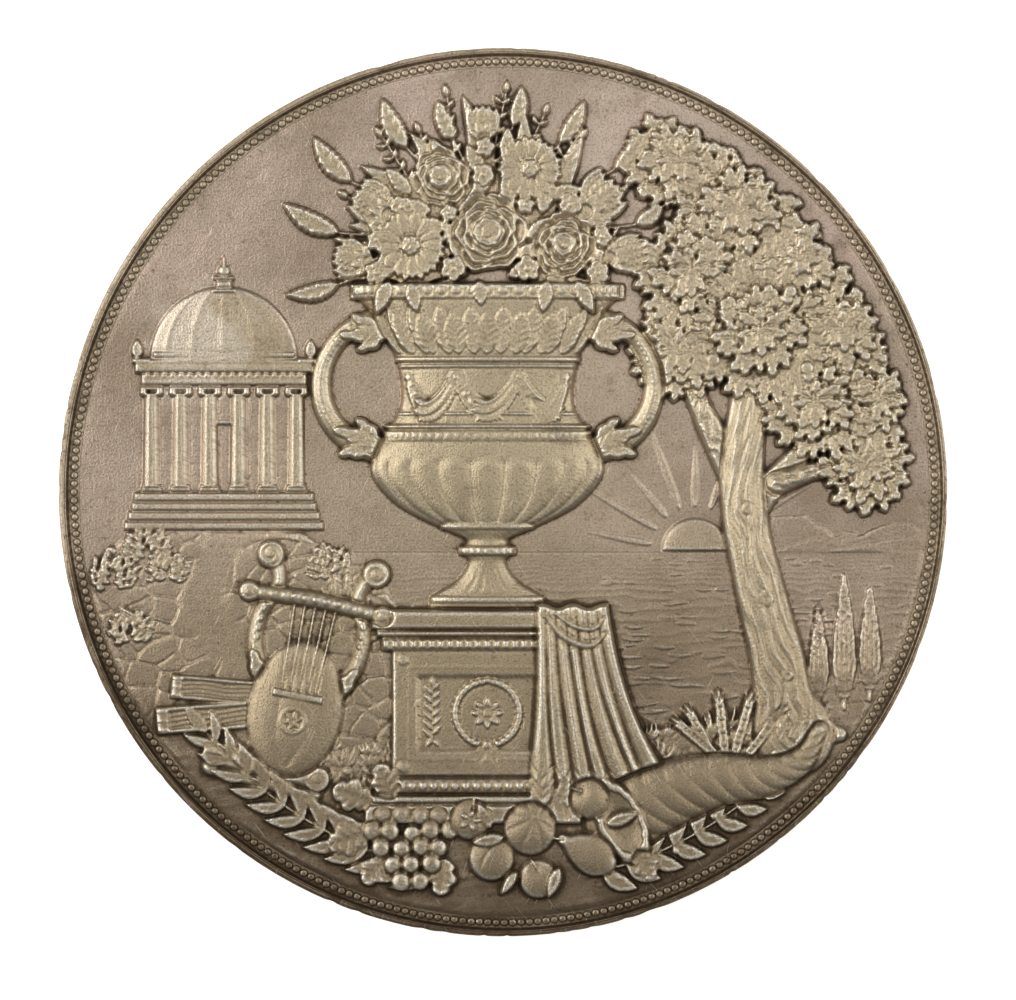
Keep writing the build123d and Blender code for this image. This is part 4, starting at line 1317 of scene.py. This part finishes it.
def body_profile():
    """Rings of the body from the middle of the reverse round to the middle of its inner top.

    Each has a radius, a level, whether it follows the die, and values for patina and for wear with painted
    highlight."""
    wall_top = rim_inner_radius + rim_wall_slope
    corner = flan_radius - edge_round
    rim = corner - wall_top
    top, step, base = flan_thickness, flan_thickness - channel_floor, channel_floor
    bends = [0.5 * pi * i / 6 for i in range(7)]
    rings = [(radius, top - float(dish(radius, 0)), 1, 0, 0) for radius in np.linspace(0, field_radius, 14)]
    rings += [
        (field_radius + 0.01, step, 1, -3, 0), (field_radius + 0.4, step, 1, -2, 0),
        (rim_inner_radius - 0.1, step, 1, -6, 0), (rim_inner_radius, step - 0.02, 1, -8, 0),
        (wall_top - 0.03, 0.06, 1, -1, 0.5), (wall_top, 0.0, 1, 0, 2)]
    rings += [(corner + edge_round * sin(bend), edge_round * (1 - cos(bend)), 0, 0, 1.5) for bend in bends]
    upright = np.linspace(edge_round, top - edge_round, 8)[1:-1]
    rings += [(flan_radius, float(level), 0, 0, 0) for level in upright]
    rings += [(corner + edge_round * cos(bend), top - edge_round * (1 - sin(bend)), 0, -5.5, 0.3)
              for bend in bends]
    return rings + [
        (wall_top + 0.85 * rim, top, 1, -3, 0), (wall_top + 0.66 * rim, top - 0.004, 1, -5, 0),
        (wall_top + 0.58 * rim, top - 0.03, 1, -13, 0), (wall_top + 0.40 * rim, top - 0.03, 1, -13, 0),
        (wall_top + 0.32 * rim, top - 0.004, 1, -5, 0), (wall_top + 0.05, top - 0.004, 1, -4.5, 0.4),
        (wall_top + 0.008, top - 0.03, 1, -3.5, 1.0), (wall_top, top - 0.07, 1, -5, 0.2),
        (rim_inner_radius + 0.05, base + 0.25, 1, -7, 0), (rim_inner_radius + 0.005, base + 0.05, 1, -9, 0),
        (rim_inner_radius - 0.04, base, 1, -8.5, 0), (rim_inner_radius - 0.14, base, 1, -6.5, 0),
        (bead_ring_radius, base, 1, -6.5, 0), (field_radius + 0.1, base, 1, -4.5, 0),
        (field_radius - 0.04, base, 1, -5, 0), (field_radius - 0.04, relief_floor - 0.05, 1, 0, 0),
        (0.6 * field_radius, relief_floor - 0.05, 1, 0, 0), (0.0, relief_floor - 0.05, 1, 0, 0)]


def body(material):
    """The disc itself: reverse, edge and rim, with slight waves and the nicks of years of handling."""
    rings = body_profile()
    around = 720
    angle = 2 * pi * np.arange(around) / around
    draw = np.random.default_rng(12)

    def dents(count, least, narrow, wide):
        deep = 0
        for _ in range(count):
            away = np.abs((angle - draw.uniform(0, 2 * pi) + pi) % (2 * pi) - pi)
            deep = deep + draw.uniform(least, 1.0) * bell(away, draw.uniform(narrow, wide))
        return deep

    wave = sum(draw.uniform(-1, 1) * np.sin(k * angle + draw.uniform(0, 6)) / k for k in range(3, 16))
    rub = sum(draw.uniform(-1, 1) * np.sin(k * angle + draw.uniform(0, 6)) for k in range(40, 90, 7)) / 7
    nicks = dents(64, 0.3, 0.004, 0.014)
    inner = dents(30, 0.2, 0.003, 0.010)

    vertices, cavities, crests, starts = [], [], [], []
    for radius, level, of_die, dark, bright in rings:
        starts.append(len(vertices))
        if radius == 0:
            vertices.append((die_shift / 1000, 0, level / 1000))
            cavities.append(dark)
            crests.append(bright)
            continue
        edge = np.clip((radius - flan_radius + edge_round) / edge_round, 0, 1) if not of_die else 0.0
        upper = level > flan_thickness - edge_round - 0.01
        dent = 0.08 * nicks * (upper and not of_die) + 0.03 * np.abs(rub) * edge
        reach = radius + 0.012 * wave * (radius > rim_inner_radius) - dent * edge
        drop = 0.045 * nicks * (upper and not of_die) + 0.012 * (rub + wave) * (level > channel_floor + 0.3)
        if of_die and upper:
            drop = drop + 0.04 * inner
        x, y = reach * np.cos(angle) + die_shift * of_die, reach * np.sin(angle)
        vertices += (np.stack([x, y, np.full(around, level) - drop], axis=1) / 1000).tolist()
        streak = np.convolve(draw.normal(0, 1, around + 16), np.ones(17) / 4, mode="valid")
        # Painted shade: the rim and edge grow darker towards the lower left, on top of their patina and the
        # dirt in nicks
        shade = np.clip(np.cos(angle - radians(215)), 0, 1) * (level > channel_floor - 0.01)
        dirt_and_shade = dark * (0.62 + 0.38 * shade) - shade - 3 * nicks * upper
        cavities.extend(dirt_and_shade + 1.5 * streak * (upper or of_die))
        crests.extend(bright + 0.6 * rub * (bright > 0))

    faces = []
    for a, b in zip(starts, starts[1:]):
        for i in range(around):
            j = (i + 1) % around
            if a == 0:
                faces.append((a, b + j, b + i))
            elif b == starts[-1]:
                faces.append((a + i, a + j, b))
            else:
                faces.append((a + i, a + j, b + j, b + i))
    new_piece("medal_body", vertices, faces, material, cavities, crests, [28] * len(crests))


def beads(material):
    """The bead border. No two beads are quite alike, and their tops are worn."""
    around, levels = 12, 7
    level_dark, level_bright = (-13, -8, -2.5, -1, -1, -2, -3), (0, 0, 0.8, 1.5, 1.2, 0.5, 0)
    draw = np.random.default_rng(3)
    vertices, faces, cavities, crests = [], [], [], []
    for i in range(bead_count):
        bearing = 2 * pi * i / bead_count
        middle = bead_ring_radius + draw.uniform(-0.012, 0.012)
        size = bead_radius * draw.uniform(1.08, 1.13)
        worn = draw.uniform(0.84, 0.98)
        # Each bead's own grime, plus painted shade that darkens beads towards the lower left
        bead_grime_and_shade = draw.uniform(-1.2, 0.8) - 2.2 * max(cos(bearing - radians(205)), 0)
        # How strongly each bead shows its rubbed top and painted highlight
        rub = draw.uniform(0.6, 1.5)
        first = len(vertices)
        for k, dark, bright in zip(range(levels), level_dark, level_bright):
            share = cos(0.5 * pi * k / levels)
            z = channel_floor + bead_radius * worn * (1 - share**3.2) ** 0.55 - (0.05 if k == 0 else 0)
            for t in 2 * pi * np.arange(around) / around:
                reach, along = middle + size * share * cos(t), size * share * sin(t) * 1.02
                x = reach * cos(bearing) - along * sin(bearing) + die_shift
                vertices.append((x / 1000, (reach * sin(bearing) + along * cos(bearing)) / 1000, z / 1000))
                cavities.append(dark + bead_grime_and_shade)
                crests.append(bright * rub)
        top = len(vertices)
        x, z = middle * cos(bearing) + die_shift, channel_floor + bead_radius * worn
        vertices.append((x / 1000, middle * sin(bearing) / 1000, z / 1000))
        cavities.append(bead_grime_and_shade - 3)
        crests.append(0)
        for a in range(first, top - around, around):
            b = a + around
            faces += [(a + j, a + (j + 1) % around, b + (j + 1) % around, b + j) for j in range(around)]
        a = top - around
        faces += [(a + j, a + (j + 1) % around, top) for j in range(around)]
        faces.append(tuple(range(first, first + around))[::-1])
    new_piece("bead_border", vertices, faces, material, cavities, crests, [26] * len(crests))


# Finish: toned silver, dark in its hollows, bright where it is rubbed, with painted highlights on its crests

shade_grey, light_grey, mauve = (0.345, 0.267, 0.202, 1), (0.610, 0.503, 0.414, 1), (0.520, 0.370, 0.315, 1)
olive, raised_olive, low_brown = (0.425, 0.352, 0.240, 1), (0.498, 0.418, 0.278, 1), (0.280, 0.218, 0.138, 1)
foot_brown, mottle_brown, pale_patch = (0.118, 0.086, 0.056, 1), (0.300, 0.235, 0.165, 1), (0.70, 0.62, 0.52, 1)
bare_silver_highlight, patina = (0.77, 0.725, 0.62, 1), (0.064, 0.041, 0.023, 1)
grain_brown, scratch_silver = (0.150, 0.115, 0.080, 1), (0.760, 0.700, 0.610, 1)


class Value:
    """A number that the shader works out at every place, so that the finish reads as plain sums."""

    def __init__(self, nodes, socket):
        self.nodes, self.socket = nodes, socket

    def __add__(self, other):
        return self.nodes.math("ADD", self, other)

    def __sub__(self, other):
        return self.nodes.math("SUBTRACT", self, other)

    def __rsub__(self, other):
        return self.nodes.math("SUBTRACT", other, self)

    def __mul__(self, other):
        return self.nodes.math("MULTIPLY", self, other)

    def clamped(self):
        """The same sum, kept between 0 and 1."""
        self.socket.node.use_clamp = True
        return self


class Nodes:
    """Small helper that adds shader nodes and joins them."""

    def __init__(self, material):
        self.tree = material.node_tree
        self.shader = self.tree.nodes["Principled BSDF"]
        place = self.tree.nodes.new("ShaderNodeTexCoord").outputs["Object"]
        x, y, z = (Value(self, socket) for socket in self.add("ShaderNodeSeparateXYZ", Vector=place).outputs)
        self.x, self.y = x, y
        # The flat noise leans with height, so that it covers upright faces as well
        self.leaning = self.add("ShaderNodeCombineXYZ", X=x + z * 1.1, Y=y - z * 0.8).outputs[0]

    def add(self, kind, **sockets):
        node = self.tree.nodes.new(kind)
        for key, value in sockets.items():
            self.put(node.inputs[key.replace("_", " ")], value)
        return node

    def put(self, socket, value):
        value = getattr(value, "socket", value)
        if isinstance(value, bpy.types.NodeSocket):
            self.tree.links.new(value, socket)
        else:
            socket.default_value = value

    def math(self, operation, a, b):
        node = self.tree.nodes.new("ShaderNodeMath")
        node.operation = operation
        self.put(node.inputs[0], a)
        self.put(node.inputs[1], b)
        return Value(self, node.outputs[0])

    def ramp(self, value, low, high):
        """Value spread smoothly from 0 at low to 1 at high."""
        node = self.tree.nodes.new("ShaderNodeMapRange")
        node.interpolation_type = "SMOOTHSTEP"
        for socket, number in zip(node.inputs[1:3], (low, high)):
            socket.default_value = number
        self.put(node.inputs[0], value)
        return Value(self, node.outputs[0])

    def mix(self, share, a, b):
        node = self.tree.nodes.new("ShaderNodeMix")
        node.data_type = "RGBA"
        for k, value in ((0, share), (6, a), (7, b)):
            self.put(node.inputs[k], value)
        return node.outputs[2]

    def noise(self, size, detail=3.0, stretch=1, turn=0.0, shift=0.0):
        """Noise with features of a size in millimetres, stretched from top to bottom and turned."""
        mapping = self.add("ShaderNodeMapping", Vector=self.leaning)
        mapping.vector_type = "TEXTURE"
        mapping.inputs["Location"].default_value = (0.1 * shift, 0.2 * shift, 0)
        mapping.inputs["Rotation"].default_value = (0, 0, radians(turn))
        mapping.inputs["Scale"].default_value = (size / 1000, size * stretch / 1000, size / 1000)
        node = self.add("ShaderNodeTexNoise", Vector=mapping.outputs[0], Scale=1.0, Detail=detail,
                        Roughness=0.55)
        node.noise_dimensions = "2D"
        return Value(self, node.outputs[0])

    def away(self, middle_x, middle_y):
        """Distance of a place from a point."""
        across, along = self.x - middle_x, self.y - middle_y
        return self.math("SQRT", across * across + along * along, 0.0)

    def attribute(self, name):
        node = self.tree.nodes.new("ShaderNodeAttribute")
        node.attribute_name = name
        return Value(self, node.outputs["Fac"])


def silver():
    material = bpy.data.materials.new("toned_silver")
    material.use_nodes = True
    n = Nodes(material)
    rise, cavity, crest = n.attribute("rise"), n.attribute("cavity"), n.attribute("crest")

    # Broad colour: mauve grey above with a painted pool of light round the top, olive on the relief, dark
    # brown at the foot
    cloud = n.noise(12, 4)
    mottle = n.noise(2.6, 4, shift=3)
    uneven_cloud, uneven_mottle = cloud - 0.5, mottle - 0.5
    # Painted light: a round pool near the top of the field is lightened in colour
    painted_glow = n.ramp(n.away(0.006, 0.020), 0.025, 0.005)
    lighter = (painted_glow * 0.55 + uneven_cloud * 1.6 + uneven_mottle * 0.5 + 0.33).clamped()
    tone = n.mix(lighter, shade_grey, light_grey)
    tone = n.mix(n.ramp(cloud, 0.54, 0.66) * 0.35, tone, mauve)
    centre = n.away(-0.003, -0.001) - uneven_cloud * 0.030
    tone = n.mix(n.ramp(centre, 0.027, 0.010) * 0.50, tone, olive)
    raised = n.ramp(rise + mottle * 24, 16, 60)
    tone = n.mix(raised * 0.78, tone, raised_olive)
    drift = n.y + uneven_cloud * 0.024
    low = n.ramp(drift, 0.003, -0.016)
    tone = n.mix(low * 0.60, tone, low_brown)
    tone = n.mix(n.ramp(drift, -0.014, -0.029) * (0.92 - raised * 0.55), tone, foot_brown)
    tone = n.mix(n.ramp(mottle, 0.48, 0.70) * 0.30, tone, mottle_brown)

    # A paler patch at the left of the field
    patch = n.away(-0.0241, 0.0117) + uneven_mottle * 0.009
    tone = n.mix(n.ramp(patch, 0.0052, 0.0016) * 0.6, tone, pale_patch)

    # Patina in the hollows, fine spots, and worn crests that are partly real wear and partly painted
    # highlight
    fine = n.noise(0.35, 4, shift=5)
    uneven = (fine - 0.5) * 9.0
    hollow = n.ramp(cavity * (low * 0.55 + 0.85) + uneven - uneven_mottle * 9.0, -2.6, -11.5)
    pits = n.ramp(fine + low * 0.045 - cavity * 0.025, 0.715, 0.79) * 0.7
    stains = n.ramp(fine * 0.55 + mottle * 0.60, 0.67, 0.77) * 0.30
    dark = n.math("MAXIMUM", hollow, n.math("MAXIMUM", pits, stains)).clamped()
    # Partly wear, partly painted highlight: the crests are lightened towards bare silver
    worn = n.ramp(crest * (mottle + 0.35) + uneven * 0.16, 0.4, 3.2)
    tone = n.mix(worn * 0.56, tone, bare_silver_highlight)
    tone = n.mix(dark * 0.89, tone, patina)

    # Gloss: satin, duller in the patina
    gloss = (mottle * 0.22 + 0.29 + dark * 0.25 - worn * 0.08).clamped()

    # Fine surface: the grain of the metal, wiping marks from top to bottom and thin scratches
    grain = n.noise(0.17, 2, shift=1)
    wiping = n.noise(0.13, 1, stretch=16, turn=3)
    steep = n.ramp(n.noise(0.15, 1, stretch=30, turn=37, shift=2), 0.745, 0.80)
    level = n.ramp(n.noise(0.15, 1, stretch=22, turn=-24, shift=4), 0.755, 0.80)
    scratch = n.math("MAXIMUM", steep, level)
    tone = n.mix(n.ramp(grain, 0.44, 0.70) * 0.40, tone, grain_brown)
    tone = n.mix(scratch * 0.28, tone, scratch_silver)
    height = grain + wiping * 0.35 - scratch * 0.5
    bump = n.add("ShaderNodeBump", Strength=1.0, Distance=0.000030, Height=height)

    n.put(n.shader.inputs["Base Color"], tone)
    n.put(n.shader.inputs["Roughness"], gloss)
    n.put(n.shader.inputs["Normal"], bump.outputs[0])
    n.shader.inputs["Metallic"].default_value = 1.0
    return material


finish = silver()
relief_piece("relief_temple_side", lambda x, y: x < -36, finish)
relief_piece("relief_oak_side", lambda x, y: x > 36, finish)
relief_piece("relief_urn", lambda x, y: (np.abs(x) <= 36) & (y >= -8), finish)
relief_piece("relief_plinth", lambda x, y: (np.abs(x) <= 36) & (y < -8), finish)
body(finish)
beads(finish)


# Floor, light and camera

def floor():
    mesh = bpy.data.meshes.new("floor")
    mesh.from_pydata([(-2, -2, 0), (2, -2, 0), (2, 2, 0), (-2, 2, 0)], [], [(0, 1, 2, 3)])
    plane = bpy.data.objects.new("floor", mesh)
    bpy.context.collection.objects.link(plane)
    material = bpy.data.materials.new("white_paper")
    material.use_nodes = True
    n = Nodes(material)
    n.put(n.shader.inputs["Base Color"], n.mix(n.noise(6, 3), (0.93, 0.925, 0.90, 1), (0.95, 0.95, 0.935, 1)))
    n.shader.inputs["Roughness"].default_value = 0.9
    n.shader.inputs["Emission Color"].default_value = (1.0, 0.995, 0.98, 1)
    n.shader.inputs["Emission Strength"].default_value = 0.55
    mesh.materials.append(material)


def lamp(name, place, size, power):
    """A square lamp with a slightly warm light that points at the medal."""
    light = bpy.data.lights.new(name, "AREA")
    light.shape = "RECTANGLE"
    light.size, light.size_y = size, size
    light.energy = power
    light.color = (1.0, 0.98, 0.94)
    thing = bpy.data.objects.new(name, light)
    bpy.context.collection.objects.link(thing)
    thing.location = place
    thing.rotation_euler = (-Vector(place)).to_track_quat("-Z", "Y").to_euler()


def room():
    """Soft light all round, brighter from above and from the top of the picture."""
    world = bpy.data.worlds.new("soft_room")
    world.use_nodes = True
    nodes, links = world.node_tree.nodes, world.node_tree.links
    direction = nodes.new("ShaderNodeSeparateXYZ")
    links.new(nodes.new("ShaderNodeTexCoord").outputs["Generated"], direction.inputs[0])
    ceiling = nodes.new("ShaderNodeMapRange")
    for socket, number in zip(ceiling.inputs[1:5], (0.0, 1.0, 0.20, 0.60)):
        socket.default_value = number
    lean = nodes.new("ShaderNodeMath")
    lean.operation = "MULTIPLY_ADD"
    lean.inputs[1].default_value = 0.25
    links.new(direction.outputs[1], lean.inputs[0])
    links.new(direction.outputs[2], lean.inputs[2])
    links.new(lean.outputs[0], ceiling.inputs[0])
    links.new(ceiling.outputs[0], nodes["Background"].inputs[1])
    nodes["Background"].inputs[0].default_value = (1.0, 0.985, 0.96, 1)
    bpy.context.scene.world = world


floor()
lamp("left_light", (-0.40, 0.14, 0.36), 0.55, 2.18)
lamp("right_light", (0.40, 0.12, 0.36), 0.60, 1.38)
room()
bpy.context.scene.view_settings.view_transform = "Standard"

photo_width = 1016
pixels_per_mm = 12.71
lens, sensor = 100, 36
distance = photo_width / pixels_per_mm / sensor * lens / 1000
camera = bpy.data.cameras.new("camera")
camera.lens = lens
camera.sensor_width = sensor
camera_object = bpy.data.objects.new("camera", camera)
bpy.context.collection.objects.link(camera_object)
camera_object.location = (0.000386, -0.000622, flan_thickness / 1000 + distance)
bpy.context.scene.camera = camera_object
